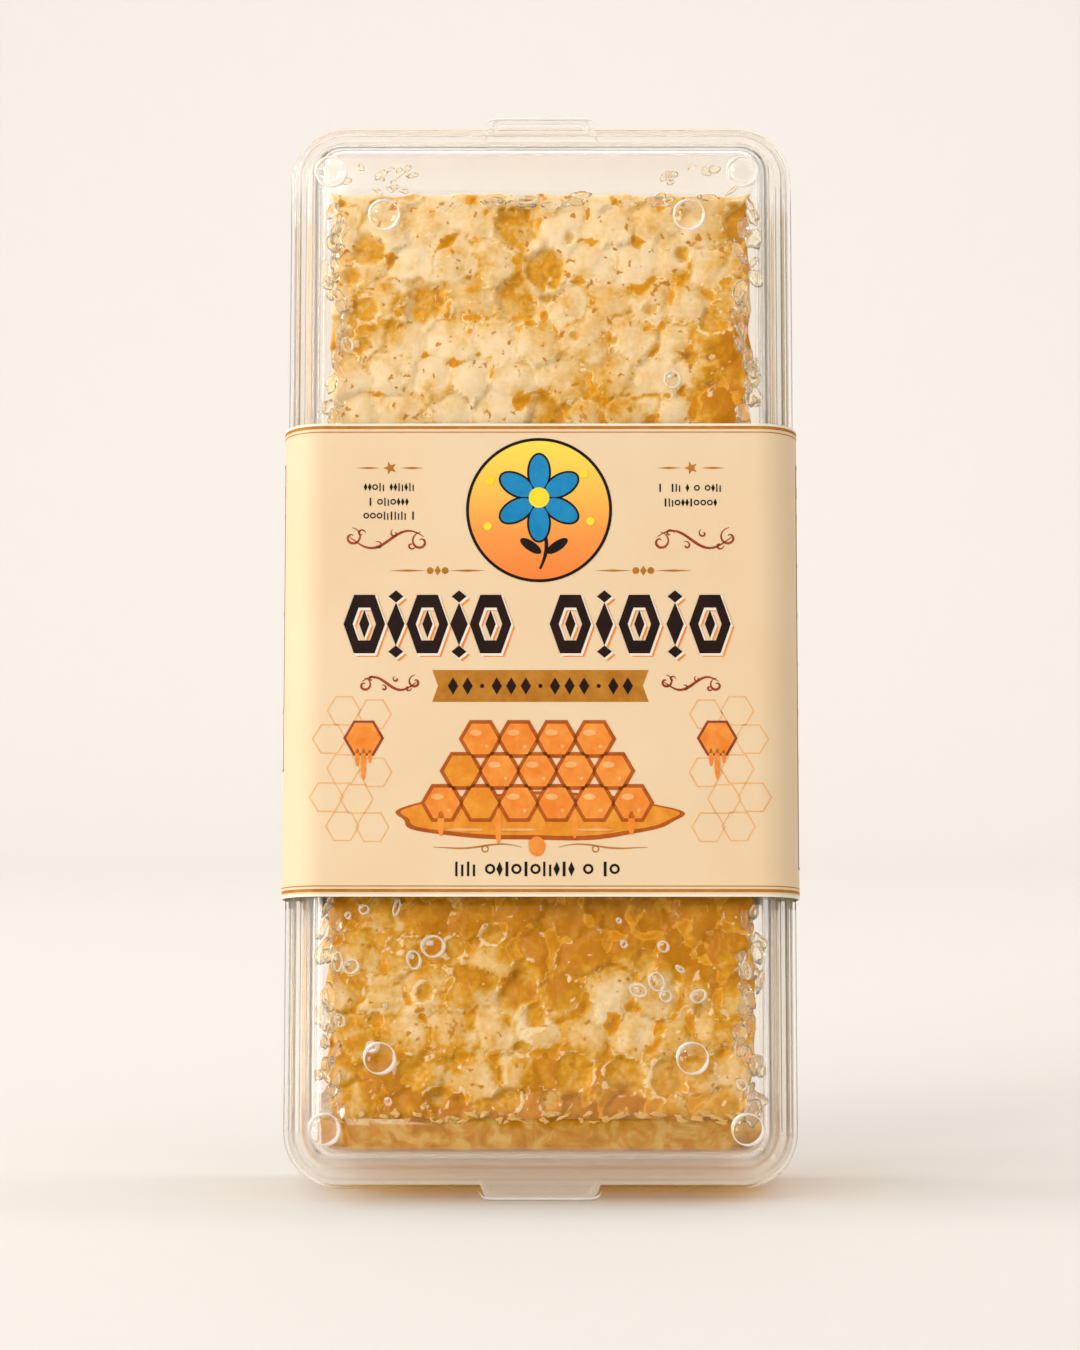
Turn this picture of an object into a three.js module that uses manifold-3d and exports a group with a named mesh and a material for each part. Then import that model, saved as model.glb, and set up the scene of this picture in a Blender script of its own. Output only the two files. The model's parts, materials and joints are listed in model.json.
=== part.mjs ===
// A piece of cut honeycomb in a closed clear box, with a paper band round the box's middle.
// Millimetres, +Z up, front towards -Y. The pack stands on its lower tab and its back bottom
// edge, so it leans back a little. Everything is built in the box's own frame first: x across,
// y from the front plate backwards, z up from the lowest point of the base's rim.
import * as THREE from 'three';
import Module from 'manifold-3d';
import { mergeVertices } from 'three/addons/utils/BufferGeometryUtils.js';

// Driving dimensions of the box
const BOX_WIDTH = 62;
const BOX_HEIGHT = 130.5;
const BOX_DEPTH = 30;
const CORNER_RADIUS = 6.8;
const WALL = 1.1;
const SEAM_DEPTH = 5.8;
const RIM_THICKNESS = 1.1;
const GAP = 0.3;
const CORNER_STEPS = 6;

// The lid is a shallow tray. Insets are measured from the outline of the base's rim.
const LID_RIM_INSET = 0.5;
const LID_FOOT_INSET = 2.6;
const PLATE_INSET = 5.1;

// The base is the deep tray behind the lid
const BASE_WALL_INSET = 0.9;
const BASE_BACK_INSET = 1.1;
const BASE_CORNER = 2.4;

// Eight low domes on the front plate, as pairs: distance from the middle, height
const DOME_RADIUS = 1.95;
const DOME_HEIGHT = 0.9;
const DOME_EMBED = 0.4;
const DOME_SIDES = 12;
const DOME_SHIFT = -0.5;
const DOME_PAIRS = [
  { across: 18.6, up: 117.9 },
  { across: 25.1, up: 123.3 },
  { across: 18.6, up: 15.5 },
  { across: 25.1, up: 7.1 },
];

// Opening tabs at the middle of the top and bottom rim
const TAB_THICKNESS = 1.5;
const TAB_EMBED = 0.2;
const TAB_BEAD = 0.75;
const TAB_POCKET = 0.7;
const LOWER_TAB = { root: 7.8, end: 6.5, reach: 1.85 };
const UPPER_TAB = { root: 7.2, end: 5.85, reach: 1.6 };
const TAB_ROOT_OVERLAP = 1.4;

// The cut comb: hexagonal cells in level rows, capped with wax on the front and the back
const COMB_WIDTH = 50.6;
const COMB_TOP = 121;
const COMB_FRONT = WALL + 0.4;
const COMB_THICKNESS = 26;
const CELL_PITCH = 5.4;
const ROW_PITCH = CELL_PITCH * Math.sqrt(3) / 2;
const CELL_JITTER = 1.3;
const LATTICE_COLUMNS = [-6, 5];
const LATTICE_ROWS = [1, 27];
const CAP_GROOVE = 0.5;
const CAP_UNEVENNESS = 0.7;
const CAP_REACH = 0.6;
const OPEN_CELL_DEPTH = 1.6;
const OPEN_CELL_REACH = 0.8;
const OPEN_CELL_SHARE = 0.12;
const SCALLOP_DEPTH = 0.55;
const SCALLOP_STEPS = 4;

// Honey that has run to the bottom of the box, level with the floor
const POOL_LEVEL = 8.4;

// The paper band
const BAND_LOW = 34.7;
const BAND_HIGH = 92;
const BAND_PAPER = 0.3;
const BAND_CLEARANCE = 0.15;
const BAND_FLAT = 26.4;
const BAND_BEND_STEPS = 8;

// The stance: the lean, and how much is worn flat where the pack touches the floor
const FOOT_FLAT = 0.14;

const wasm = await Module();
wasm.setup();

// Mesh helpers

// A closed geometry from a flat list of vertices and triangles, turned to face outwards
function closedGeometry(vertices, triangles) {
  let volume = 0;
  const [a, b, c] = [new THREE.Vector3(), new THREE.Vector3(), new THREE.Vector3()];
  for (const [i, j, k] of triangles) {
    a.fromArray(vertices[i]);
    b.fromArray(vertices[j]);
    c.fromArray(vertices[k]);
    volume += a.dot(b.cross(c));
  }
  const facing = volume < 0 ? triangles.map(([i, j, k]) => [i, k, j]) : triangles;
  const geometry = new THREE.BufferGeometry();
  geometry.setAttribute('position', new THREE.Float32BufferAttribute(vertices.flat(), 3));
  geometry.setIndex(facing.flat());
  return geometry;
}

function toSolid(geometry) {
  const bare = geometry.clone();
  bare.deleteAttribute('normal');
  bare.deleteAttribute('uv');
  const merged = mergeVertices(bare, 1e-4);
  const mesh = new wasm.Mesh({
    numProp: 3,
    vertProperties: Float32Array.from(merged.attributes.position.array),
    triVerts: Uint32Array.from(merged.index.array),
  });
  return new wasm.Manifold(mesh);
}

function toGeometry(solid) {
  const { vertProperties, triVerts } = solid.getMesh();
  const geometry = new THREE.BufferGeometry();
  geometry.setAttribute('position', new THREE.BufferAttribute(vertProperties, 3));
  geometry.setIndex(new THREE.BufferAttribute(triVerts, 1));
  return geometry;
}

// Repeatable draw between 0 and 1 for the cell in column i and row j
function draw(i, j, salt) {
  const wave = Math.sin(i * 12.9898 + j * 78.233 + salt * 37.719) * 43758.5453;
  return wave - Math.floor(wave);
}

// Outline and lofting helpers

// The rounded rectangle of the base's rim, moved inwards by inset, as [x, z] points
function outline(inset) {
  const halfWidth = BOX_WIDTH / 2 - inset;
  const low = inset;
  const high = BOX_HEIGHT - inset;
  const radius = Math.max(CORNER_RADIUS - inset, 1);
  const corners = [
    [halfWidth - radius, high - radius, 0],
    [-halfWidth + radius, high - radius, 1],
    [-halfWidth + radius, low + radius, 2],
    [halfWidth - radius, low + radius, 3],
  ];
  return corners.flatMap(([x, z, quarter]) => Array.from({ length: CORNER_STEPS + 1 }, (_, k) => {
    const angle = (quarter + k / CORNER_STEPS) * Math.PI / 2;
    return [x + radius * Math.cos(angle), z + radius * Math.sin(angle)];
  }));
}

// Lofts through outlines given as [inset, depth], and closes both ends with a fan
function loftOutlines(profile) {
  const rings = profile.map(([inset, depth]) => outline(inset).map(([x, z]) => [x, depth, z]));
  const count = rings[0].length;
  const vertices = rings.flat();
  const triangles = [];
  for (let ring = 0; ring < rings.length - 1; ring += 1) {
    for (let k = 0; k < count; k += 1) {
      const next = (k + 1) % count;
      const here = ring * count;
      const there = here + count;
      triangles.push([here + k, here + next, there + next], [here + k, there + next, there + k]);
    }
  }
  const lastRing = (rings.length - 1) * count;
  const firstCentre = vertices.push([0, profile[0][1], BOX_HEIGHT / 2]) - 1;
  const lastCentre = vertices.push([0, profile.at(-1)[1], BOX_HEIGHT / 2]) - 1;
  for (let k = 0; k < count; k += 1) {
    const next = (k + 1) % count;
    triangles.push([firstCentre, next, k], [lastCentre, lastRing + k, lastRing + next]);
  }
  return closedGeometry(vertices, triangles);
}

// A quarter ellipse that leaves a plate at [inset0, depth0] and ends down a wall at [inset1, depth1]
function bend(inset0, depth0, inset1, depth1, steps) {
  return Array.from({ length: steps + 1 }, (_, k) => {
    const angle = k / steps * Math.PI / 2;
    return [
      inset1 + (inset0 - inset1) * (1 - Math.sin(angle)),
      depth0 + (depth1 - depth0) * (1 - Math.cos(angle)),
    ];
  });
}

// The stance

// The lean that puts the lower tab's end and the rounded back bottom edge on one level floor
const tabBack = SEAM_DEPTH - TAB_EMBED + TAB_THICKNESS;
const tabEnd = LID_RIM_INSET - LOWER_TAB.reach;
const edgeUp = BASE_BACK_INSET + BASE_CORNER - tabEnd;
const edgeBehind = BOX_DEPTH - BASE_CORNER - tabBack;
const lean = Math.acos(BASE_CORNER / Math.hypot(edgeUp, edgeBehind)) - Math.atan2(edgeBehind, edgeUp);

// Height above the box's origin, measured upright once the box leans
function uprightHeight(depth, up) {
  return up * Math.cos(lean) - depth * Math.sin(lean);
}
const floorHeight = uprightHeight(tabBack, tabEnd) + FOOT_FLAT;
const poolHeight = uprightHeight(COMB_FRONT, POOL_LEVEL);

// Everything above (side 1) or below (side -1) a plane that is level once the box leans
function levelBlock(height, side) {
  const size = 400;
  const block = new THREE.BoxGeometry(size, size, size);
  block.translate(0, 0, height + side * size / 2);
  block.rotateX(lean);
  return toSolid(block);
}

// The box

// A low round dome on the front plate
function domeSolid(x, z) {
  const profile = [
    new THREE.Vector2(0, -DOME_EMBED),
    new THREE.Vector2(DOME_RADIUS, -DOME_EMBED),
    new THREE.Vector2(DOME_RADIUS, DOME_HEIGHT * 0.25),
    new THREE.Vector2(DOME_RADIUS * 0.8, DOME_HEIGHT * 0.75),
    new THREE.Vector2(DOME_RADIUS * 0.4, DOME_HEIGHT),
    new THREE.Vector2(0, DOME_HEIGHT),
  ];
  const dome = new THREE.LatheGeometry(profile, DOME_SIDES);
  dome.rotateX(Math.PI);
  dome.translate(x, 0, z);
  return toSolid(dome);
}

// A trapezium plate in the rim's plane, from its root to its end
function trapezium(rootHalf, endHalf, rootZ, endZ, front, back) {
  const shape = new THREE.Shape([
    new THREE.Vector2(-rootHalf, rootZ),
    new THREE.Vector2(rootHalf, rootZ),
    new THREE.Vector2(endHalf, endZ),
    new THREE.Vector2(-endHalf, endZ),
  ]);
  const plate = new THREE.ExtrudeGeometry(shape, { depth: back - front, bevelEnabled: false });
  plate.rotateX(Math.PI / 2);
  plate.translate(0, back, 0);
  return toSolid(plate);
}

// An opening tab: a plate with a shallow pocket inside a raised bead. Outwards is 1 up, -1 down.
function tabSolid(tab, rimZ, outwards) {
  const front = SEAM_DEPTH - TAB_EMBED;
  const rootZ = rimZ - outwards * TAB_ROOT_OVERLAP;
  const endZ = rimZ + outwards * tab.reach;
  const plate = trapezium(tab.root, tab.end, rootZ, endZ, front, front + TAB_THICKNESS);
  const pocketEnd = endZ - outwards * TAB_BEAD;
  const pocketHalf = tab.end - TAB_BEAD;
  const pocketFloor = front + TAB_POCKET;
  const pocket = trapezium(pocketHalf, pocketHalf, rimZ - outwards * LID_RIM_INSET, pocketEnd, 0, pocketFloor);
  return plate.subtract(pocket);
}

// The lid: front plate, rounded shoulder, low wall and rim, with its domes and tabs
function makeLid() {
  const rimBack = SEAM_DEPTH + RIM_THICKNESS;
  const innerFoot = LID_FOOT_INSET + WALL;
  let lid = toSolid(loftOutlines([
    ...bend(PLATE_INSET, 0, LID_FOOT_INSET + 0.3, 2.8, 5),
    [LID_FOOT_INSET, SEAM_DEPTH - 0.2],
    [LID_FOOT_INSET - 0.2, SEAM_DEPTH],
    [LID_RIM_INSET + 0.3, SEAM_DEPTH],
    [LID_RIM_INSET, SEAM_DEPTH + 0.3],
    [LID_RIM_INSET, rimBack],
    [innerFoot, rimBack],
    ...bend(PLATE_INSET + 0.6, WALL, innerFoot + 0.2, 3.4, 3).reverse(),
  ]));
  for (const { across, up } of DOME_PAIRS) {
    lid = lid.add(domeSolid(DOME_SHIFT - across, up));
    lid = lid.add(domeSolid(DOME_SHIFT + across, up));
  }
  lid = lid.add(tabSolid(LOWER_TAB, LID_RIM_INSET, -1));
  lid = lid.add(tabSolid(UPPER_TAB, BOX_HEIGHT - LID_RIM_INSET, 1));
  return toGeometry(lid.subtract(levelBlock(floorHeight, -1)));
}

// The base: a deep tray with a rim that reaches a little past the lid's
function makeBase() {
  const rimFront = SEAM_DEPTH + RIM_THICKNESS + GAP;
  const rimBack = rimFront + RIM_THICKNESS;
  const innerBack = BOX_DEPTH - WALL;
  const innerCorner = BASE_CORNER - WALL / 2;
  const base = toSolid(loftOutlines([
    ...bend(BASE_BACK_INSET + BASE_CORNER, BOX_DEPTH, BASE_BACK_INSET, BOX_DEPTH - BASE_CORNER, 5),
    [BASE_WALL_INSET, rimBack + 0.2],
    [BASE_WALL_INSET - 0.2, rimBack],
    [0.2, rimBack],
    [0, rimBack - 0.2],
    [0, rimFront + 0.2],
    [0.2, rimFront],
    [BASE_WALL_INSET + WALL, rimFront],
    ...bend(BASE_BACK_INSET + WALL + innerCorner, innerBack,
      BASE_BACK_INSET + WALL, innerBack - innerCorner, 3).reverse(),
  ]));
  return toGeometry(base.subtract(levelBlock(floorHeight, -1)));
}

// The comb

// Middle of the cell in column i and row j, with a little unevenness
function cellMiddle(i, j) {
  const stagger = (j % 2) / 2;
  const x = (i + stagger) * CELL_PITCH + (draw(i, j, 1) - 0.5) * CELL_JITTER;
  const z = j * ROW_PITCH + (draw(i, j, 2) - 0.5) * CELL_JITTER;
  return new THREE.Vector2(x, z);
}

// The six neighbours of a cell, in order round it
function neighbours(i, j) {
  const shift = j % 2;
  return [
    [i + 1, j],
    [i + shift, j + 1],
    [i + shift - 1, j + 1],
    [i - 1, j],
    [i + shift - 1, j - 1],
    [i + shift, j - 1],
  ];
}

// One wax face as a relief of caps, each vertex given as [x, depth below the face, z]
function waxFace(salt) {
  const vertices = [];
  const triangles = [];
  const corners = new Map();
  const addVertex = (point, depth) => vertices.push([point.x, depth, point.y]) - 1;
  const cornerOf = (cells) => {
    const key = cells.map((cell) => cell.join()).sort().join('|');
    if (!corners.has(key)) {
      const middle = new THREE.Vector2();
      cells.forEach(([i, j]) => middle.addScaledVector(cellMiddle(i, j), 1 / 3));
      corners.set(key, { point: middle, index: addVertex(middle, CAP_GROOVE) });
    }
    return corners.get(key);
  };
  for (let j = LATTICE_ROWS[0]; j <= LATTICE_ROWS[1]; j += 1) {
    for (let i = LATTICE_COLUMNS[0]; i <= LATTICE_COLUMNS[1]; i += 1) {
      const around = neighbours(i, j);
      const rim = around.map((cell, k) => cornerOf([[i, j], cell, around[(k + 1) % 6]]));
      const middle = cellMiddle(i, j);
      const open = draw(i, j, salt) < OPEN_CELL_SHARE;
      const depth = open ? OPEN_CELL_DEPTH : CAP_UNEVENNESS * draw(i, j, salt + 1);
      const reach = open ? OPEN_CELL_REACH : CAP_REACH + 0.2 * draw(i, j, salt + 2);
      const cap = addVertex(middle, depth);
      const ledge = rim.map(({ point }) => addVertex(middle.clone().lerp(point, reach), depth));
      rim.forEach(({ index }, k) => {
        const next = (k + 1) % 6;
        triangles.push([index, rim[next].index, ledge[next]], [index, ledge[next], ledge[k]]);
        triangles.push([ledge[k], ledge[next], cap]);
      });
    }
  }
  return { vertices, triangles };
}

// Edges that only one triangle uses, in that triangle's direction
function openEdges(triangles) {
  const edges = new Map();
  for (const corners of triangles) {
    corners.forEach((from, k) => edges.set(`${from},${corners[(k + 1) % 3]}`, [from, corners[(k + 1) % 3]]));
  }
  return [...edges.values()].filter(([from, to]) => !edges.has(`${to},${from}`));
}

// The front and back wax faces over the same cells, joined round their edge
function latticeSlab() {
  const front = waxFace(3);
  const back = waxFace(11);
  const count = front.vertices.length;
  const combBack = COMB_FRONT + COMB_THICKNESS;
  const vertices = [
    ...front.vertices.map(([x, depth, z]) => [x, COMB_FRONT + depth, z]),
    ...back.vertices.map(([x, depth, z]) => [x, combBack - depth, z]),
  ];
  const triangles = [...front.triangles];
  back.triangles.forEach(([a, b, c]) => triangles.push([a + count, c + count, b + count]));
  for (const [from, to] of openEdges(front.triangles)) {
    triangles.push([to, from, from + count], [to, from + count, to + count]);
  }
  return closedGeometry(vertices, triangles);
}

// How far the cut edge dips in at t cells along it, where it runs through hollow cells
function scallop(t, salt) {
  const cell = Math.floor(t);
  return SCALLOP_DEPTH * (0.5 + draw(cell, salt, 13)) * Math.sin((t - cell) * Math.PI);
}

// The cut block's outline, seen from the front
function cutOutline() {
  const rows = Math.round((COMB_TOP - ROW_PITCH / 2) / ROW_PITCH);
  const columns = Math.round(COMB_WIDTH / CELL_PITCH);
  const side = (salt) => Array.from({ length: rows * SCALLOP_STEPS }, (_, k) => {
    const t = k / SCALLOP_STEPS;
    return [COMB_WIDTH / 2 - scallop(t, salt), t * COMB_TOP / rows];
  });
  const top = Array.from({ length: columns * SCALLOP_STEPS }, (_, k) => {
    const t = k / SCALLOP_STEPS;
    return [COMB_WIDTH / 2 - t * COMB_WIDTH / columns, COMB_TOP - scallop(t, 3)];
  });
  const left = side(2).map(([x, z]) => [-x, z]).reverse();
  const points = [...side(1), ...top, [-COMB_WIDTH / 2, COMB_TOP], ...left];
  return new THREE.Shape(points.map(([x, z]) => new THREE.Vector2(x, z)));
}

function makeComb() {
  const cutter = new THREE.ExtrudeGeometry(cutOutline(), { depth: 2 * BOX_DEPTH, bevelEnabled: false });
  cutter.rotateX(Math.PI / 2);
  cutter.translate(0, 1.5 * BOX_DEPTH, 0);
  const block = toSolid(latticeSlab()).intersect(toSolid(cutter));
  return toGeometry(block.subtract(levelBlock(poolHeight + GAP, -1)));
}

// Honey at the bottom of the box, up to its level
function makePool() {
  const lidInset = LID_FOOT_INSET + WALL + GAP;
  const baseInset = BASE_BACK_INSET + WALL + GAP;
  const step = SEAM_DEPTH + RIM_THICKNESS + GAP;
  const poolBack = BOX_DEPTH - WALL - GAP;
  const pool = toSolid(loftOutlines([
    ...bend(PLATE_INSET + 0.6 + GAP, WALL + GAP, lidInset + 0.2, 3.4 + GAP, 3),
    [lidInset, step],
    [baseInset, step + 0.2],
    [baseInset, poolBack - BASE_CORNER],
    [baseInset + BASE_CORNER / 3, poolBack - BASE_CORNER / 3],
    [baseInset + BASE_CORNER, poolBack],
  ]));
  return toGeometry(pool.subtract(levelBlock(poolHeight, 1)));
}

// The paper band

// The band's course round the box, pushed outwards by offset, as points across and back
function bandCourse(offset) {
  const half = BOX_WIDTH / 2 + offset;
  const backHalf = BOX_WIDTH / 2 - BASE_BACK_INSET + offset;
  const bendDepth = SEAM_DEPTH + 0.7;
  const back = BOX_DEPTH + offset;
  const radius = BASE_CORNER + offset;
  const rimBack = SEAM_DEPTH + 2 * RIM_THICKNESS + GAP;
  const quarter = Array.from({ length: BAND_BEND_STEPS + 1 }, (_, k) => k / BAND_BEND_STEPS * Math.PI / 2);
  const right = [
    ...quarter.map((angle) => [
      BAND_FLAT + (half - BAND_FLAT) * Math.sin(angle),
      bendDepth - (bendDepth + offset) * Math.cos(angle),
    ]),
    [half, rimBack],
    ...quarter.map((angle) => [
      backHalf - radius + radius * Math.cos(angle),
      back - radius + radius * Math.sin(angle),
    ]),
  ];
  const left = right.map(([x, y]) => [-x, y]).reverse();
  return [...right, ...left].map(([x, y]) => new THREE.Vector2(x, y));
}

function makeBand() {
  const shape = new THREE.Shape(bandCourse(BAND_CLEARANCE + BAND_PAPER));
  shape.holes.push(new THREE.Path(bandCourse(BAND_CLEARANCE)));
  const band = new THREE.ExtrudeGeometry(shape, { depth: BAND_HIGH - BAND_LOW, bevelEnabled: false });
  band.translate(0, 0, BAND_LOW);
  return band;
}

// The pack

const clearPlastic = { color: 0xf6f1ea, roughness: 0.08, metalness: 0, transparent: true, opacity: 0.35 };
const wax = { color: 0xe9bd7c, roughness: 0.35, metalness: 0 };
const honey = { color: 0xc4842b, roughness: 0.08, metalness: 0 };
const paper = { color: 0xfadab0, roughness: 0.6, metalness: 0 };

const parts = [
  ['box_lid', makeLid(), clearPlastic],
  ['box_base', makeBase(), clearPlastic],
  ['honeycomb', makeComb(), wax],
  ['honey_pool', makePool(), honey],
  ['paper_band', makeBand(), paper],
];

const leaning = new THREE.Group();
leaning.rotation.x = -lean;
for (const [name, geometry, finish] of parts) {
  const mesh = new THREE.Mesh(geometry, new THREE.MeshStandardMaterial(finish));
  mesh.name = name;
  leaning.add(mesh);
}

const pack = new THREE.Group();
pack.add(leaning);
const extent = new THREE.Box3().setFromObject(pack, true);
leaning.position.set(0, -(extent.min.y + extent.max.y) / 2, -floorHeight);

export default pack;
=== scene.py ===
# %% [markdown]
# # A piece of honeycomb in a clear box
#
# This lesson dresses a finished CAD model: a block of cut comb in a closed clear box that leans
# back a little on its lower tab, with a printed paper band round its middle. The CAD part fixes
# every place and size. Here each piece is remade as a fine mesh with its own material.
#
# All pieces are modelled in the box's own frame, where the numbers are easy to read: x across,
# y from the front plate backwards and z up from the rim's lowest point, in millimetres. One matrix
# then leans each mesh back to where the CAD part stands.

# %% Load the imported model
import bisect
import json
import math
import random

import bmesh
import bpy
from mathutils import Matrix, Vector, noise

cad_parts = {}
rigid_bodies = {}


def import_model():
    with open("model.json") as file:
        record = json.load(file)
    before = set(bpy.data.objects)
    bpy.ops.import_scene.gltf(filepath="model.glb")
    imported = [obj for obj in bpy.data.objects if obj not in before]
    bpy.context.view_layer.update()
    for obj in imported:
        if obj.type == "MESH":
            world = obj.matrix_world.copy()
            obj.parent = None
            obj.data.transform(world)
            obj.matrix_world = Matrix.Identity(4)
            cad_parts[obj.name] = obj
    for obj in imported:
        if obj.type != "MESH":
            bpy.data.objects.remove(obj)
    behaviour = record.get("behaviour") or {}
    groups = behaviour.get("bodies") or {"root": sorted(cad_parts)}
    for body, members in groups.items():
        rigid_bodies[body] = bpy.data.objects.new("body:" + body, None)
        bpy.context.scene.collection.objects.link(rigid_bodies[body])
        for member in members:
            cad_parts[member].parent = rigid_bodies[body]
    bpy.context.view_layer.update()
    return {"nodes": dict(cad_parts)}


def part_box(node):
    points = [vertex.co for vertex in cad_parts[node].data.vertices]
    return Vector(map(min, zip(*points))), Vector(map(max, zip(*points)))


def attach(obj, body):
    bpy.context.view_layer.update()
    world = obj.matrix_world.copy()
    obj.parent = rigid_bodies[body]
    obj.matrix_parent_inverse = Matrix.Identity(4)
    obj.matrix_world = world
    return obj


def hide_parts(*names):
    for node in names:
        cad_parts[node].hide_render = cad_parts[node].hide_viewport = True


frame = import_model()
print("CAD nodes:", sorted(frame["nodes"]))

# %% [markdown]
# ## The stance
#
# The lean could be typed in, but then a change to the CAD part would leave the looks behind. The
# paper band is a plain upright loop of known size, so its leaning box on the CAD side tells both
# how far the pack leans and where it stands.

# %% Sizes of the box, in millimetres
MM = 0.001
BOX_WIDTH = 62.0
BOX_HEIGHT = 130.5
BOX_DEPTH = 30.0
CORNER_RADIUS = 6.8
WALL = 1.1
SEAM_DEPTH = 5.8
SHELL_GAP = 0.3
BAND_LOW = 34.7
BAND_HIGH = 92.0
BAND_PROUD = 0.45
POOL_LEVEL = 8.4

# %% Measure the lean from the band's box
band_low_corner, band_high_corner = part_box("paper_band")
band_rise = (band_high_corner.z - band_low_corner.z) / MM
band_tall = BAND_HIGH - BAND_LOW
band_deep = BOX_DEPTH + 2 * BAND_PROUD
LEAN = math.atan2(band_deep, band_tall) - math.acos(band_rise / math.hypot(band_deep, band_tall))
stand_y = band_low_corner.y / MM - BAND_LOW * math.sin(LEAN) + BAND_PROUD * math.cos(LEAN)
stand_z = band_high_corner.z / MM - BAND_HIGH * math.cos(LEAN) - BAND_PROUD * math.sin(LEAN)
LEAN_BACK = Matrix.Translation((0, stand_y, stand_z)) @ Matrix.Rotation(-LEAN, 4, "X")
BOX_TO_WORLD = Matrix.Scale(MM, 4) @ LEAN_BACK
print(f"the pack leans back {math.degrees(LEAN):.2f} degrees")

# %% [markdown]
# ## Camera
#
# The photograph shows the pack straight on from its middle height with a long lens. The camera is
# level: the box's narrowing towards the top comes from the lean alone. It stands a hair to the
# right, which shows in how the front domes shift against the comb.

# %% Camera
LENS = 100.2
SENSOR = 36.0
CAMERA_REACH = 444.6
CAMERA_HEIGHT = 60.94
CAMERA_TURN = math.radians(0.29)
PIVOT_BACK = 22.0


def make_camera():
    data = bpy.data.cameras.new("camera")
    data.lens = LENS
    data.sensor_width = SENSOR
    data.sensor_fit = "AUTO"
    camera = bpy.data.objects.new("camera", data)
    bpy.context.scene.collection.objects.link(camera)
    turn = Matrix.Rotation(CAMERA_TURN, 4, "Z")
    pivot = Vector((0, PIVOT_BACK + stand_y, CAMERA_HEIGHT + stand_z))
    place = pivot + turn @ Vector((-0.127, -CAMERA_REACH - PIVOT_BACK, 0))
    camera.matrix_world = Matrix.Translation(place * MM) @ turn @ Matrix.Rotation(math.pi / 2, 4, "X")
    bpy.context.scene.camera = camera
    return camera


camera = make_camera()
print("camera at", [round(value, 3) for value in camera.matrix_world.translation])

# %% [markdown]
# ## Helpers
#
# Every piece ends the same way: its mesh is leaned into place, it gets a material, and it is told
# which body it rides on. A small helper does that, so that each later cell holds only its shape.


# %% Turn a bmesh in the box's frame into a finished piece
def add_piece(bm, name, material, replaces=None, sharp=None):
    bmesh.ops.transform(bm, matrix=BOX_TO_WORLD, verts=bm.verts)
    for vert in bm.verts:
        vert.co.z = max(vert.co.z, 0)
    mesh = bpy.data.meshes.new(name)
    bm.to_mesh(mesh)
    bm.free()
    for polygon in mesh.polygons:
        polygon.use_smooth = True
    if sharp is not None:
        mesh.set_sharp_from_angle(angle=math.radians(sharp))
    piece = bpy.data.objects.new(name, mesh)
    piece.data.materials.append(material)
    bpy.context.scene.collection.objects.link(piece)
    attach(piece, "root")
    if replaces:
        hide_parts(replaces)
    triangles = sum(len(polygon.vertices) - 2 for polygon in mesh.polygons)
    print(f"{name}: {triangles} triangles")
    return piece


# %% Colours, as a screen shows them, turned to the light values that a shader wants
def screen(red, green, blue):
    linear = []
    for value in (red, green, blue):
        part = value / 255
        linear.append(part / 12.92 if part <= 0.04045 else ((part + 0.055) / 1.055) ** 2.4)
    return (*linear, 1.0)


BLACK = (0, 0, 0, 1)
WHITE = (1, 1, 1, 1)

# %% Start a material, and set the sockets of its shader
def start_material(name, **sockets):
    material = bpy.data.materials.new(name)
    material.use_nodes = True
    shader = material.node_tree.nodes["Principled BSDF"]
    for socket, value in sockets.items():
        shader.inputs[socket.replace("_", " ")].default_value = value
    return material, material.node_tree.nodes, material.node_tree.links, shader


# %% Node helpers
def add_noise(nodes, links, coordinates, scale, detail, roughness=0.5, swirl=0.0):
    texture = nodes.new("ShaderNodeTexNoise")
    texture.inputs["Distortion"].default_value = swirl
    texture.inputs["Scale"].default_value = scale
    texture.inputs["Detail"].default_value = detail
    texture.inputs["Roughness"].default_value = roughness
    links.new(coordinates, texture.inputs["Vector"])
    return texture.outputs["Fac"]


def add_ramp(nodes, links, factor, stops):
    ramp = nodes.new("ShaderNodeValToRGB")
    elements = ramp.color_ramp.elements
    while len(elements) < len(stops):
        elements.new(0.5)
    for element, (position, colour) in zip(elements, stops):
        element.position = position
        element.color = colour
    links.new(factor, ramp.inputs["Fac"])
    return ramp.outputs["Color"]


def add_mix(nodes, links, factor, first, second):
    mix = nodes.new("ShaderNodeMix")
    mix.data_type = "RGBA"
    links.new(factor, mix.inputs["Factor"])
    for socket, value in ((mix.inputs[6], first), (mix.inputs[7], second)):
        if isinstance(value, tuple):
            socket.default_value = value
        else:
            links.new(value, socket)
    return mix.outputs[2]


def add_bump(nodes, links, height, strength, distance):
    bump = nodes.new("ShaderNodeBump")
    bump.inputs["Strength"].default_value = strength
    bump.inputs["Distance"].default_value = distance
    links.new(height, bump.inputs["Height"])
    return bump.outputs["Normal"]


def read_attribute(nodes, name):
    attribute = nodes.new("ShaderNodeAttribute")
    attribute.attribute_name = name
    return attribute.outputs["Fac"]


# %% Sums of two patterns, and a noise that swings round zero
def add_math(nodes, links, operation, first, second):
    step = nodes.new("ShaderNodeMath")
    step.operation = operation
    for socket, value in zip(step.inputs, (first, second)):
        if isinstance(value, (int, float)):
            socket.default_value = value
        else:
            links.new(value, socket)
    return step.outputs["Value"]


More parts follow.
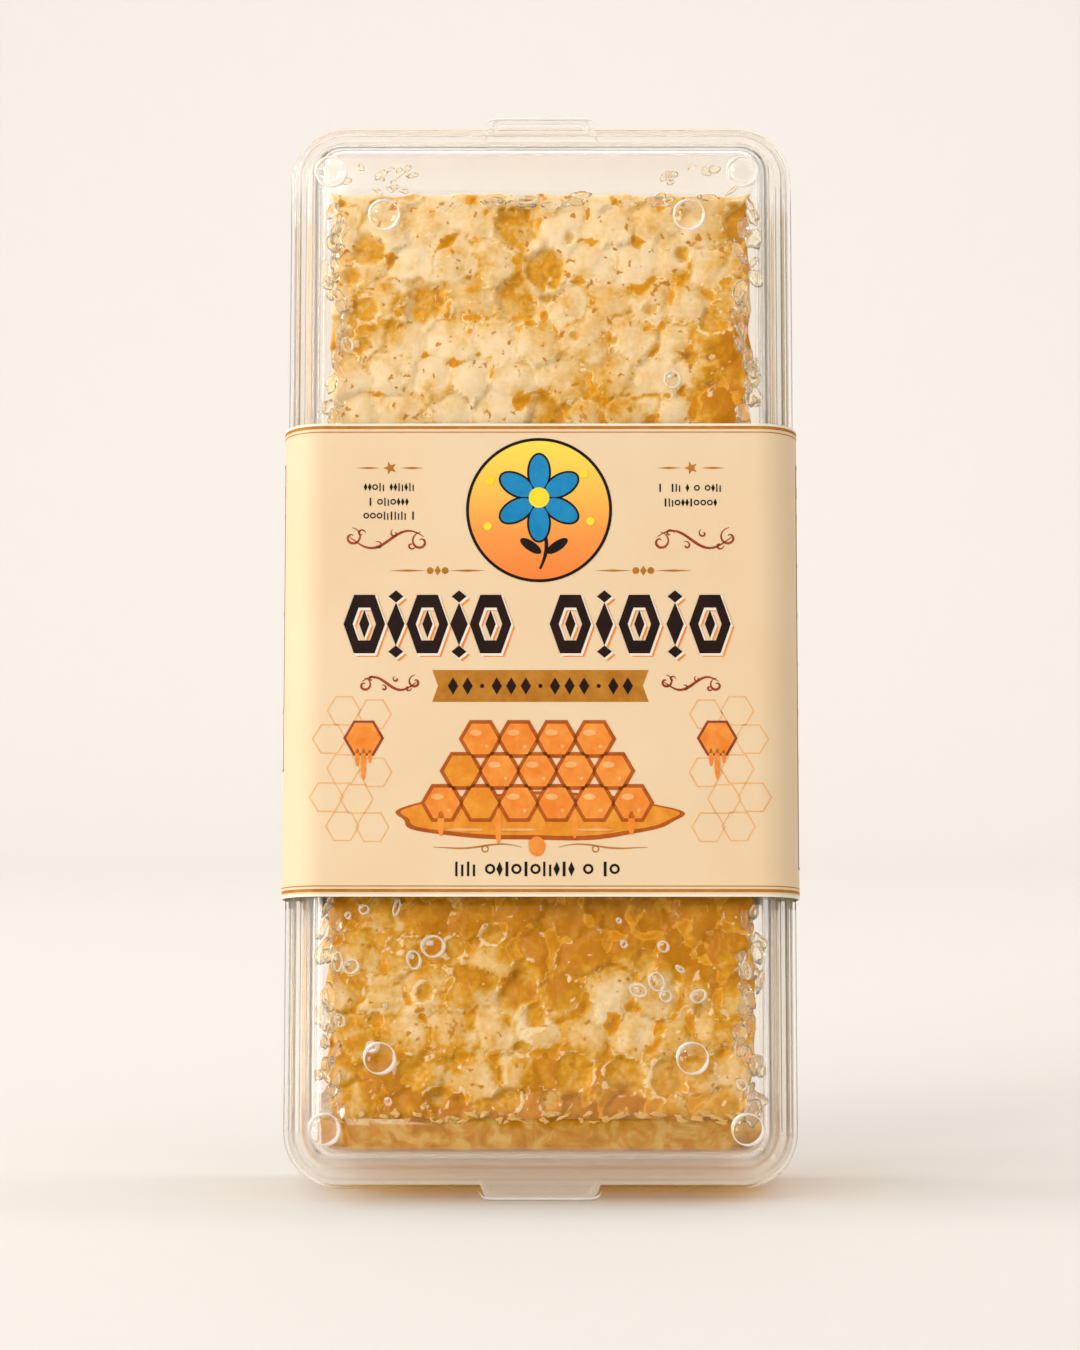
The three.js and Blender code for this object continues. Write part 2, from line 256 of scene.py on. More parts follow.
def centred_noise(nodes, links, coordinates, scale, detail, swing, swirl=0.0):
    raw = add_noise(nodes, links, coordinates, scale, detail, 0.5, swirl)
    centred = add_math(nodes, links, "SUBTRACT", raw, 0.5)
    return add_math(nodes, links, "MULTIPLY", centred, swing)


# %% [markdown]
# ## Clear plastic
#
# Clear moulded plastic is a glass-like shader with a low index. Real light reaches the comb
# through it, but a ray tracer finds that path only by chance, so for shadow rays the plastic is
# mixed with a transparent shader. Lamps then light the comb, and the camera still sees refraction.

# %% Clear plastic
PLASTIC_IOR = 1.49
PLASTIC_TINT = (1.0, 0.988, 0.968, 1)
BACK_IOR = 1.25
PLASTIC_SHADE = (0.95, 0.94, 0.92, 1)
# Colour of the white scatter that paints the glow of the rim and ends
PAINTED_GLOW_COLOUR = (0.98, 0.96, 0.93, 1)


def mix_shaders(nodes, links, share, first, second):
    mix = nodes.new("ShaderNodeMixShader")
    links.new(share, mix.inputs["Fac"])
    links.new(first, mix.inputs[1])
    links.new(second, mix.inputs[2])
    return mix.outputs["Shader"]


def let_light_through(material, tint, painted_glow=None):
    nodes = material.node_tree.nodes
    links = material.node_tree.links
    surface = nodes["Principled BSDF"].outputs["BSDF"]
    if painted_glow:
        scattered = nodes.new("ShaderNodeBsdfTranslucent")
        scattered.inputs["Color"].default_value = PAINTED_GLOW_COLOUR
        surface = mix_shaders(nodes, links, painted_glow, surface, scattered.outputs["BSDF"])
    through = nodes.new("ShaderNodeBsdfTransparent")
    through.inputs["Color"].default_value = tint
    shadow_ray = nodes.new("ShaderNodeLightPath").outputs["Is Shadow Ray"]
    mixed = mix_shaders(nodes, links, shadow_ray, surface, through.outputs["BSDF"])
    links.new(mixed, nodes["Material Output"].inputs["Surface"])


def make_clear_plastic(name, index, find_painted_glow):
    material, nodes, links, shader = start_material(name, Base_Color=PLASTIC_TINT, Roughness=0.01, IOR=index)
    # The share of painted glow: white scatter put where the walls carry light, standing in for that light
    painted_glow = find_painted_glow(nodes, links)
    clearness = add_math(nodes, links, "SUBTRACT", 1.0, painted_glow)
    links.new(clearness, shader.inputs["Transmission Weight"])
    let_light_through(material, PLASTIC_SHADE, painted_glow)
    return material


# %% [markdown]
# At the rim one looks along the walls, through much more plastic than in the flat front, and it
# looks bright and milky there, because the walls carry light along them. The shader paints that
# light as a white scatter of its own, more of it towards the foot: a painted glow. A mask in the
# box's own frame says how far a point lies outside the flat plate. The mapping undoes the lean.

# %% Where in the box a point lies, in millimetres: across, deep and up
def box_coordinates(nodes, links):
    place = nodes.new("ShaderNodeTexCoord").outputs["Object"]
    unlean = nodes.new("ShaderNodeMapping")
    unlean.inputs["Scale"].default_value = (1 / MM, 1 / MM, 1 / MM)
    unlean.inputs["Rotation"].default_value = (LEAN, 0, 0)
    unlean.inputs["Location"].default_value = -(LEAN_BACK.inverted().to_3x3() @ LEAN_BACK.translation)
    links.new(place, unlean.inputs["Vector"])
    split = nodes.new("ShaderNodeSeparateXYZ")
    links.new(unlean.outputs["Vector"], split.inputs["Vector"])
    return split.outputs


def add_share(nodes, links, value, start, end):
    share = nodes.new("ShaderNodeMapRange")
    share.inputs["From Min"].default_value = start
    share.inputs["From Max"].default_value = end
    links.new(value, share.inputs["Value"])
    return share.outputs["Result"]


# %% Where each shell gets its painted glow, a white scatter: the lid outside its plate, the base at its two ends
PLATE_HALF_WIDTH = 26.0
PLATE_HALF_HEIGHT = 60.2
RIM_REACH = 3.0
RIM_PAINTED_GLOW = 0.12
LOW_END = (7.0, 2.0)
LOW_PAINTED_GLOW = 0.3
TOP_END = (123.5, 127.5)
TOP_PAINTED_GLOW = 0.3
BEHIND_RIM = (9.0, 12.0)


def lid_painted_glow(nodes, links):
    across, _, up = box_coordinates(nodes, links)
    from_side = add_math(nodes, links, "ABSOLUTE", across, 0)
    sideways = add_math(nodes, links, "SUBTRACT", from_side, PLATE_HALF_WIDTH)
    from_middle = add_math(nodes, links, "SUBTRACT", up, BOX_HEIGHT / 2)
    from_end = add_math(nodes, links, "ABSOLUTE", from_middle, 0)
    upwards = add_math(nodes, links, "SUBTRACT", from_end, PLATE_HALF_HEIGHT)
    outside = add_math(nodes, links, "MAXIMUM", sideways, upwards)
    rim = add_share(nodes, links, outside, 0, RIM_REACH)
    low = add_math(nodes, links, "MULTIPLY", add_share(nodes, links, up, *LOW_END), LOW_PAINTED_GLOW)
    return add_math(nodes, links, "MULTIPLY", rim, add_math(nodes, links, "ADD", low, RIM_PAINTED_GLOW))


def base_painted_glow(nodes, links):
    _, deep, up = box_coordinates(nodes, links)
    low = add_math(nodes, links, "MULTIPLY", add_share(nodes, links, up, *LOW_END), LOW_PAINTED_GLOW)
    top = add_math(nodes, links, "MULTIPLY", add_share(nodes, links, up, *TOP_END), TOP_PAINTED_GLOW)
    ends = add_math(nodes, links, "ADD", low, top)
    return add_math(nodes, links, "MULTIPLY", ends, add_share(nodes, links, deep, *BEHIND_RIM))


clear_plastic = make_clear_plastic("clear_plastic", PLASTIC_IOR, lid_painted_glow)
clear_back = make_clear_plastic("clear_back", BACK_IOR, base_painted_glow)

# %% [markdown]
# ## The two shells
#
# Lid and base are thin trays with rounded edges. Each starts as one rounded rectangle, the rim's
# outline, and grows by repeated insets, each a little further in and a little further out along
# the face's normal. That keeps the corner arcs concentric, as a mould's are. Solidify then gives
# the skin its wall, and a small bevel rounds the cut rim.

# %% A rounded rectangle in the rim's plane, seen from the front or from behind
CORNER_SEGMENTS = 14


def rim_outline(bm, inset, depth, facing):
    half = BOX_WIDTH / 2 - inset
    tall = BOX_HEIGHT - 2 * inset
    made = bmesh.ops.create_grid(bm, x_segments=1, y_segments=1, size=1)
    bmesh.ops.scale(bm, vec=(half, tall / 2, 1), verts=made["verts"])
    corners = [element for element in made["verts"]]
    bmesh.ops.bevel(
        bm,
        geom=corners,
        offset=CORNER_RADIUS - inset,
        offset_type="OFFSET",
        affect="VERTICES",
        segments=CORNER_SEGMENTS,
        profile=0.5,
        material=-1,
    )
    turn = Matrix.Rotation(math.radians(90 * facing), 4, "X")
    bmesh.ops.transform(bm, matrix=turn, verts=bm.verts)
    bmesh.ops.translate(bm, vec=(0, depth, BOX_HEIGHT / 2), verts=bm.verts)
    return bm.faces[:][0]


# %% Grow a tray from its outline through steps of (inset, depth)
def grow(bm, face, steps, facing):
    inset, depth = steps[0]
    for next_inset, next_depth in steps[1:]:
        bmesh.ops.inset_region(
            bm,
            faces=[face],
            thickness=max(next_inset - inset, 0.001),
            depth=(next_depth - depth) * -facing,
            use_even_offset=True,
            use_boundary=True,
        )
        inset = next_inset
        depth = next_depth


# %% A quarter ellipse from a wall at (inset0, depth0) round to a plate at (inset1, depth1)
def round_over(inset0, depth0, inset1, depth1, count):
    steps = []
    for k in range(1, count + 1):
        angle = k / count * math.pi / 2
        across = inset0 + (inset1 - inset0) * (1 - math.cos(angle))
        along = depth0 + (depth1 - depth0) * math.sin(angle)
        steps.append((across, along))
    return steps


# %% Give a tray its wall and round its cut rim
def add_wall(piece, thickness, rim_round):
    wall = piece.modifiers.new("wall", "SOLIDIFY")
    wall.thickness = thickness * MM
    wall.offset = -1
    wall.use_even_offset = True
    edge = piece.modifiers.new("rim", "BEVEL")
    edge.width = rim_round * MM
    edge.segments = 3
    edge.limit_method = "ANGLE"
    edge.angle_limit = math.radians(50)
    return piece


# %% The lid
LID_RIM_INSET = 0.5
LID_FOOT_INSET = 2.6
PLATE_INSET = 5.1


def make_lid():
    bm = bmesh.new()
    face = rim_outline(bm, LID_RIM_INSET, SEAM_DEPTH, 1)
    steps = [(LID_RIM_INSET, SEAM_DEPTH)]
    steps += [(LID_RIM_INSET + 0.5, SEAM_DEPTH), (LID_RIM_INSET + 0.75, SEAM_DEPTH - 0.35)]
    steps += [(LID_RIM_INSET + 1.1, SEAM_DEPTH - 0.35), (LID_RIM_INSET + 1.35, SEAM_DEPTH)]
    steps += [(LID_FOOT_INSET - 0.25, SEAM_DEPTH), (LID_FOOT_INSET - 0.06, SEAM_DEPTH - 0.08)]
    steps += [(LID_FOOT_INSET, SEAM_DEPTH - 0.3), (LID_FOOT_INSET + 0.3, 2.8)]
    steps += round_over(LID_FOOT_INSET + 0.3, 2.8, PLATE_INSET, 0, 9)
    grow(bm, face, steps, 1)
    lid = add_piece(bm, "clear_lid", clear_plastic, "box_lid", 40)
    return add_wall(lid, WALL, 0.2)


clear_lid = make_lid()

# %% [markdown]
# ### Domes and tabs
#
# Eight small clear domes keep stacked boxes apart, and two tabs help the thumb to open the lid.
# They are moulded in one piece with it. Seen through clear plastic a hidden inner surface would
# show, so they are truly joined: one Boolean union on a collection, which is applied at once, and
# the collection's objects are then removed.

# %% One dome, half sunk in the plate
DOME_RADIUS = 1.95
DOME_HEIGHT = 0.95
DOME_FULLNESS = 2.7
DOME_SHIFT = -0.5
DOME_PAIRS = [(18.6, 117.9), (25.1, 123.3), (18.6, 15.5), (25.1, 7.1)]


def make_dome(x, z):
    bm = bmesh.new()
    bmesh.ops.create_uvsphere(bm, u_segments=40, v_segments=28, radius=1)
    for vert in bm.verts:
        around = math.hypot(vert.co.x, vert.co.y)
        fuller = (around**DOME_FULLNESS + abs(vert.co.z) ** DOME_FULLNESS) ** (-1 / DOME_FULLNESS)
        vert.co *= fuller
    bmesh.ops.rotate(bm, cent=(0, 0, 0), matrix=Matrix.Rotation(math.pi / 2, 3, "X"), verts=bm.verts)
    bmesh.ops.scale(bm, vec=(DOME_RADIUS, DOME_HEIGHT, DOME_RADIUS), verts=bm.verts)
    bmesh.ops.translate(bm, vec=(x, 0, z), verts=bm.verts)
    return bm


# %% One tab: a trapezium plate with a pocket inside a raised bead
TAB_FRONT = SEAM_DEPTH - 0.2
TAB_THICKNESS = 1.5
TAB_BEAD = 0.75
TAB_POCKET = 0.7
TAB_CORNER = 1.1
TAB_ROOT_OVERLAP = 1.4
LOWER_TAB = {"root": 7.8, "end": 6.5, "reach": 1.85}
UPPER_TAB = {"root": 7.2, "end": 5.85, "reach": 1.6}


def make_tab(tab, rim_z, outwards):
    bm = bmesh.new()
    made = bmesh.ops.create_grid(bm, x_segments=1, y_segments=1, size=1)
    ends = []
    for vert in made["verts"]:
        at_end = vert.co.y > 0
        half = tab["end"] if at_end else tab["root"]
        up = tab["reach"] if at_end else -TAB_ROOT_OVERLAP
        vert.co = (math.copysign(half, vert.co.x), TAB_FRONT, rim_z + outwards * up)
        if at_end:
            ends.append(vert)
    bmesh.ops.bevel(
        bm, geom=ends, offset=TAB_CORNER, affect="VERTICES", segments=8, profile=0.5, material=-1
    )
    outline = bm.faces[:]
    grown = bmesh.ops.extrude_face_region(bm, geom=outline, use_keep_orig=True)
    moved = [element for element in grown["geom"] if isinstance(element, bmesh.types.BMVert)]
    bmesh.ops.translate(bm, vec=(0, TAB_THICKNESS, 0), verts=moved)
    bmesh.ops.recalc_face_normals(bm, faces=bm.faces)
    front = [face for face in bm.faces if face.calc_center_median().y < TAB_FRONT + 0.01]
    bmesh.ops.inset_region(bm, faces=front, thickness=TAB_BEAD, use_even_offset=True)
    bmesh.ops.inset_region(bm, faces=front, thickness=0.15, depth=-TAB_POCKET, use_even_offset=True)
    rims = [edge for edge in bm.edges if edge.is_manifold and edge.calc_face_angle() > math.radians(40)]
    bmesh.ops.bevel(
        bm, geom=rims, offset=0.2, affect="EDGES", segments=3, profile=0.5, material=-1, clamp_overlap=True
    )
    return bm


# %% Join loose solids onto a piece
def join_solids(piece, solids):
    extras = bpy.data.collections.new("extras")
    for bm in solids:
        bmesh.ops.transform(bm, matrix=BOX_TO_WORLD, verts=bm.verts)
        mesh = bpy.data.meshes.new("extra")
        bm.to_mesh(mesh)
        bm.free()
        extras.objects.link(bpy.data.objects.new("extra", mesh))
    union = piece.modifiers.new("union", "BOOLEAN")
    union.operation = "UNION"
    union.operand_type = "COLLECTION"
    union.collection = extras
    union.solver = "EXACT"
    return extras


def apply_modifiers(piece, sharp):
    depsgraph = bpy.context.evaluated_depsgraph_get()
    finished = bpy.data.meshes.new_from_object(piece.evaluated_get(depsgraph))
    piece.modifiers.clear()
    piece.data = finished
    finished.name = piece.name
    for vertex in finished.vertices:
        vertex.co.z = max(vertex.co.z, 0)
    for polygon in finished.polygons:
        polygon.use_smooth = True
    finished.set_sharp_from_angle(angle=math.radians(sharp))
    print(f"{piece.name}: {len(finished.polygons)} faces once its modifiers are applied")


# %% Domes and tabs joined to the lid
def finish_lid(lid):
    solids = []
    for across, up in DOME_PAIRS:
        solids += [make_dome(DOME_SHIFT - across, up), make_dome(DOME_SHIFT + across, up)]
    solids.append(make_tab(LOWER_TAB, LID_RIM_INSET, -1))
    solids.append(make_tab(UPPER_TAB, BOX_HEIGHT - LID_RIM_INSET, 1))
    extras = join_solids(lid, solids)
    apply_modifiers(lid, 40)
    for extra in list(extras.objects):
        bpy.data.objects.remove(extra)
    bpy.data.collections.remove(extras)


finish_lid(clear_lid)

# %% The base
BASE_WALL_INSET = 0.9
BASE_BACK_INSET = 1.1
BASE_CORNER = 2.4
BASE_RIM_BACK = SEAM_DEPTH + 2 * WALL + SHELL_GAP


def make_base():
    bm = bmesh.new()
    face = rim_outline(bm, 0, BASE_RIM_BACK, -1)
    steps = [(0, BASE_RIM_BACK), (BASE_WALL_INSET - 0.2, BASE_RIM_BACK)]
    steps += [(BASE_WALL_INSET, BASE_RIM_BACK + 0.25), (BASE_BACK_INSET, BOX_DEPTH - BASE_CORNER)]
    steps += round_over(BASE_BACK_INSET, BOX_DEPTH - BASE_CORNER, BASE_BACK_INSET + BASE_CORNER, BOX_DEPTH, 8)
    grow(bm, face, steps, -1)
    base = add_piece(bm, "clear_base", clear_back, "box_base", 40)
    return add_wall(base, WALL, 0.2)


clear_base = make_base()
apply_modifiers(clear_base, 40)

# %% [markdown]
# ## Honeycomb
# Cut comb is a block of hexagonal wax cells. The bees cap each full cell with a thin wax lid, so
# from the front one sees pale uneven caps that overlap a little like shingles, thin wax ridges
# where they meet, and golden honey in the gaps and in the few open cells. The cells come from the
# same rule as in the CAD part: level rows of hexagons, each nudged a little. A fine grid is then
# moved point by point, because no operator knows how bees build. Each point also stores three
# numbers for the material: how golden its cap is, and how far it lies inside a ridge or a gap.
# The ridge number also marks small pale flecks, which are painted glints.

# %% The lattice of cells
COMB_WIDTH = 51.5
COMB_TOP = 121.0
COMB_FRONT = WALL + 0.4
COMB_THICKNESS = 26.0
CELL_PITCH = 5.4
ROW_PITCH = CELL_PITCH * math.sqrt(3) / 2
CELL_JITTER = 1.3
OPEN_CELL_SHARE = 0.09
FRONT_FACE = 0
BACK_FACE = 8


def draw(i, j, salt):
    wave = math.sin(i * 12.9898 + j * 78.233 + salt * 37.719) * 43758.5453
    return wave - math.floor(wave)


def cell_middle(i, j):
    stagger = (j % 2) / 2
    x = (i + stagger) * CELL_PITCH + (draw(i, j, 1) - 0.5) * CELL_JITTER
    z = j * ROW_PITCH + (draw(i, j, 2) - 0.5) * CELL_JITTER
    return x, z


cells = {(i, j): cell_middle(i, j) for i in range(-8, 8) for j in range(-1, 31)}
print("cells in the lattice:", len(cells))


# %% The three cells nearest to a point, nearest first
def nearest_cells(x, z):
    row = round(z / ROW_PITCH)
    found = []
    for j in range(row - 1, row + 2):
        column = round(x / CELL_PITCH - (j % 2) / 2)
        for i in range(column - 1, column + 2):
            middle = cells.get((i, j))
            if middle:
                found.append((math.hypot(x - middle[0], z - middle[1]), i, j))
    found.sort()
    return found[:3]


def smooth(start, end, value):
    t = min(max((value - start) / (end - start), 0), 1)
    return t * t * (3 - 2 * t)


# %% [markdown]
# The comb isn't equally golden everywhere. Where it has sunk in its own honey it is darker and
# clearer, and where air lies under the caps it is pale. A few broad patches say
# where: each has a middle, a half width, a half height and a strength, below zero for pale wax.

# %% Broad golden and pale patches
PATCHES = [
    (16.0, 31.0, 8.0, 7.0, 1.0),
    (-1.0, 34.0, 17.0, 4.5, 0.65),
    (22.5, 97.0, 4.0, 7.0, 0.95),
    (6.0, 96.0, 3.0, 4.0, 0.45),
    (-21.0, 105.0, 3.0, 4.0, 0.6),
    (3.0, 14.0, 4.0, 3.0, 0.6),
    (-17.0, 14.0, 4.0, 3.5, 0.5),
    (0.0, 8.5, 26.0, 2.0, 0.7),
    (0.5, 25.0, 4.0, 5.0, 0.45),
    (-8.0, 21.0, 14.0, 5.0, -0.5),
    (12.0, 21.0, 9.0, 4.5, -0.6),
    (-2.0, 18.0, 40.0, 17.0, 0.65),
    (0.0, 34.5, 40.0, 6.0, 0.3),
    (20.0, 112.0, 8.0, 7.0, 0.1),
    (-10.0, 95.0, 12.0, 7.0, -0.15),
]


def patch_tone(x, z):
    total = 0
    for middle_x, middle_z, half_width, half_height, strength in PATCHES:
        reach = ((x - middle_x) / half_width) ** 2 + ((z - middle_z) / half_height) ** 2
        total += strength * math.exp(-reach)
    return total


# %% [markdown]
# Fine lines need care. A ridge a fifth of a millimetre wide is thinner than the grid's squares, so
# a stored yes or no would come out as a jagged smear. Instead each point stores how far inside a
# ridge or a gap it lies, in millimetres and below zero outside. The shader finds where that
# distance crosses zero, which gives a crisp edge between the points too.

# %% Relief and tone of a wax face at one point
CAP_REST = 0.35
CAP_SPREAD = 0.18
CAP_TILT = 0.06
SHINGLE_TILT = 0.05
CAP_CROWN = 0.22
CREST_HALF_WIDTH = 0.4
GAP_HALF_WIDTH = 1.1
OPEN_DEPTH = 0.6


# Round open cells in the front: middle x, middle z, radius
ROUND_CELLS = [
    (4.1, 14.1, 2.3), (9.9, 13.4, 2.4), (15.2, 13.2, 2.3), (-4.2, 10.8, 1.7), (-12.2, 10.8, 1.5),
    (1.1, 10.6, 1.4), (-21.1, 114.1, 2.1), (-23.0, 110.6, 1.2), (-21.2, 106.5, 1.5), (-23.5, 103.5, 0.75),
    (-21.5, 101.9, 0.9), (-13.8, 23.2, 1.1), (-15.3, 14.2, 2.0), (-2.0, 25.7, 1.7), (-0.4, 20.4, 1.5),
    (-1.9, 16.9, 1.1), (3.6, 115.5, 0.8), (17.4, 113.2, 1.1), (20.8, 105.0, 1.6), (18.3, 100.7, 1.1),
    (0.8, 108.2, 0.8), (13.2, 106.7, 0.9), (4.5, 103.3, 0.8), (8.9, 102.6, 0.6), (-10.2, 28.6, 1.4),
    (-19.6, 20.2, 0.9), (-5.6, 30.4, 1.3), (19.4, 21.4, 1.2), (12.6, 27.0, 1.5), (-17.4, 29.0, 0.8),
]


def cap_height(x, z, i, j, border, face):
    middle_x, middle_z = cells[(i, j)]
    lean_x = (draw(i, j, 31 + face) - 0.5) * CAP_TILT * 2
    lean_z = (draw(i, j, 32 + face) - 0.5) * CAP_TILT + SHINGLE_TILT
    crown = -CAP_CROWN * smooth(0, 2.2, border)
    return CAP_REST + CAP_SPREAD * draw(i, j, 4 + face) + (x - middle_x) * lean_x + (z - middle_z) * lean_z + crown


def distance_to_round_cell(x, z):
    return min(math.hypot(x - cell_x, z - cell_z) - radius for cell_x, cell_z, radius in ROUND_CELLS)


def wax_at(x, z, face):
    shift = noise.noise_vector(Vector((x * 0.3, z * 0.3, face * 7.1))) * 1.5
    shift += noise.noise_vector(Vector((x * 1.1, z * 1.1, face * 3.3))) * 0.55
    first, second, third = nearest_cells(x + shift.x, z + shift.y)
    border = (second[0] - first[0]) / 2
    junction = (third[0] - first[0]) / 2
    i, j = first[1], first[2]
    pair = draw(i + second[1], j + second[2], 21 + face)
    broad = noise.noise(Vector((x * 0.16, z * 0.16, 8.5 + face)))
    grain = noise.noise(Vector((x * 0.7, z * 0.7, 5.5 + face)))
    fine = noise.noise(Vector((x * 2.1, z * 2.1, 2.5 + face)))
    patch = patch_tone(x, z)
    ridge_and_glint = CREST_HALF_WIDTH * (pair + 0.9 * grain - 0.15) + 0.1 * fine - border
    gap = GAP_HALF_WIDTH * (pair + 0.9 * grain + 0.3 * patch - 0.78) - border
    gap = max(gap, 1.6 * (grain + 0.3 * fine + 0.15 * patch + 0.04) - junction)
    # Pale flecks from fine noise join the ridge number: painted glints, wet highlights drawn in the pale ridge colour
    ridge_and_glint = max(ridge_and_glint, 0.9 * fine + 0.5 * grain - 0.55)
    depth = cap_height(x, z, i, j, border, face) + 0.06 * fine
    depth += 0.18 * smooth(-0.3, 0.5, gap) - 0.08 * smooth(-0.5, 0.3, ridge_and_glint)
    golden = 0.36 + 0.24 * (draw(i, j, 41 + face) - 0.5) + 0.3 * grain + 0.35 * broad + 0.75 * patch
    golden += 0.16 * (z - cells[(i, j)][1]) / ROW_PITCH - 0.1 * smooth(0.4, 2.0, border)
    if draw(i, j, 3 + face) < OPEN_CELL_SHARE:
        depth += OPEN_DEPTH * smooth(0.2, 0.8, border)
        golden += 0.45 * smooth(0.2, 0.7, border)
        gap = max(gap, -0.2 + 0.8 * grain - 0.1 * abs(x - cells[(i, j)][0]))
    golden += draw(i, j, 77 + face) * (0.34 * smooth(0.4, 0, border) - 0.3 * smooth(0.45, 0, abs(border - 0.6)))
    if face == FRONT_FACE:
        outside = distance_to_round_cell(x + 0.3 * shift.x, z + 0.3 * shift.y) + 0.15 * fine
        inside = smooth(0.1, -0.5, outside)
        depth += 0.35 * inside
        golden += (0.72 - golden) * inside
        ridge_and_glint = max(ridge_and_glint * (1 - inside) - inside, 0.16 + 0.25 * grain - abs(outside - 0.1))
        gap = gap * (1 - inside) + (0.35 * grain + 0.3 * fine - 0.15) * inside
    return max(depth, 0.05), golden, ridge_and_glint, gap


# %% How far the cut edge dips in, where it runs through hollow cells
SCALLOP_DEPTH = 0.38


def scallop(t, salt):
    cell = math.floor(t)
    return SCALLOP_DEPTH * (0.5 + draw(cell, salt, 13)) * math.sin((t - cell) * math.pi)


# %% An upright slab of fine squares, from y 0 at its front to y 1 at its back
GRID_STEP = 0.38
SIDE_CUTS = 12
COMB_LOW = POOL_LEVEL - 0.4


def make_slab():
    bm = bmesh.new()
    tall = COMB_TOP - COMB_LOW
    columns = round(COMB_WIDTH / GRID_STEP)
    rows = round(tall / GRID_STEP)
    made = bmesh.ops.create_grid(bm, x_segments=columns, y_segments=rows, size=1)
    bmesh.ops.scale(bm, vec=(COMB_WIDTH / 2, tall / 2, 1), verts=made["verts"])
    bmesh.ops.transform(bm, matrix=Matrix.Rotation(math.pi / 2, 4, "X"), verts=bm.verts)
    bmesh.ops.translate(bm, vec=(0, 0, COMB_LOW + tall / 2), verts=bm.verts)
    grown = bmesh.ops.extrude_face_region(bm, geom=bm.faces[:], use_keep_orig=True)
    moved = [element for element in grown["geom"] if isinstance(element, bmesh.types.BMVert)]
    bmesh.ops.translate(bm, vec=(0, 1, 0), verts=moved)
    across = [edge for edge in bm.edges if abs(edge.verts[0].co.y - edge.verts[1].co.y) > 0.5]
    bmesh.ops.subdivide_edges(bm, edges=across, cuts=SIDE_CUTS, use_grid_fill=True)
    return bm


# %% Move each point of the slab to where the wax is
COMB_HALF = COMB_WIDTH / 2
CELL_ROWS = round((COMB_TOP - ROW_PITCH / 2) / ROW_PITCH)
CELL_COLUMNS = round(COMB_WIDTH / CELL_PITCH)
EDGE_REACH = 1.4
LOW_CORNER_DIP = 0.8


def comb_point(x, t, z):
    near_side = smooth(COMB_HALF - EDGE_REACH, COMB_HALF, abs(x))
    near_top = smooth(COMB_TOP - EDGE_REACH, COMB_TOP, z)
    dip = scallop(z / COMB_TOP * CELL_ROWS, 1 if x > 0 else 2) * near_side
    dip += LOW_CORNER_DIP * smooth(16, 8, z) * near_side
    fall = scallop((COMB_HALF - x) / COMB_WIDTH * CELL_COLUMNS, 3) * near_top
    if 0.001 < t < 0.999:
        y = COMB_FRONT + 0.5 + t * (COMB_THICKNESS - 1)
        rough = noise.noise(Vector((x * 0.3, y * 0.5, z * 0.3)))
        dip += 0.25 * rough * near_side
        traits = (0.55 + 0.5 * rough, -1, 0.4 * rough - 0.1)
    else:
        depth, *traits = wax_at(x, z, FRONT_FACE if t < 0.5 else BACK_FACE)
        depth = max(depth, 0.5 * near_side, 0.5 * near_top)
        y = COMB_FRONT + depth if t < 0.5 else COMB_FRONT + COMB_THICKNESS - depth
    honey_level = POOL_LEVEL + (y - COMB_FRONT) * math.tan(LEAN)
    place = (x - math.copysign(dip, x), y, max(z - fall, honey_level - 0.4))
    return place, traits


def make_comb(material):
    bm = make_slab()
    layers = [bm.verts.layers.float.new(name) for name in ("golden", "ridge_and_glint", "gap")]
    for vert in bm.verts:
        vert.co, traits = comb_point(*vert.co)
        for layer, value in zip(layers, traits):
            vert[layer] = min(max(value, -1), 1)
    bmesh.ops.recalc_face_normals(bm, faces=bm.faces)
    return add_piece(bm, "comb", material, "honeycomb")
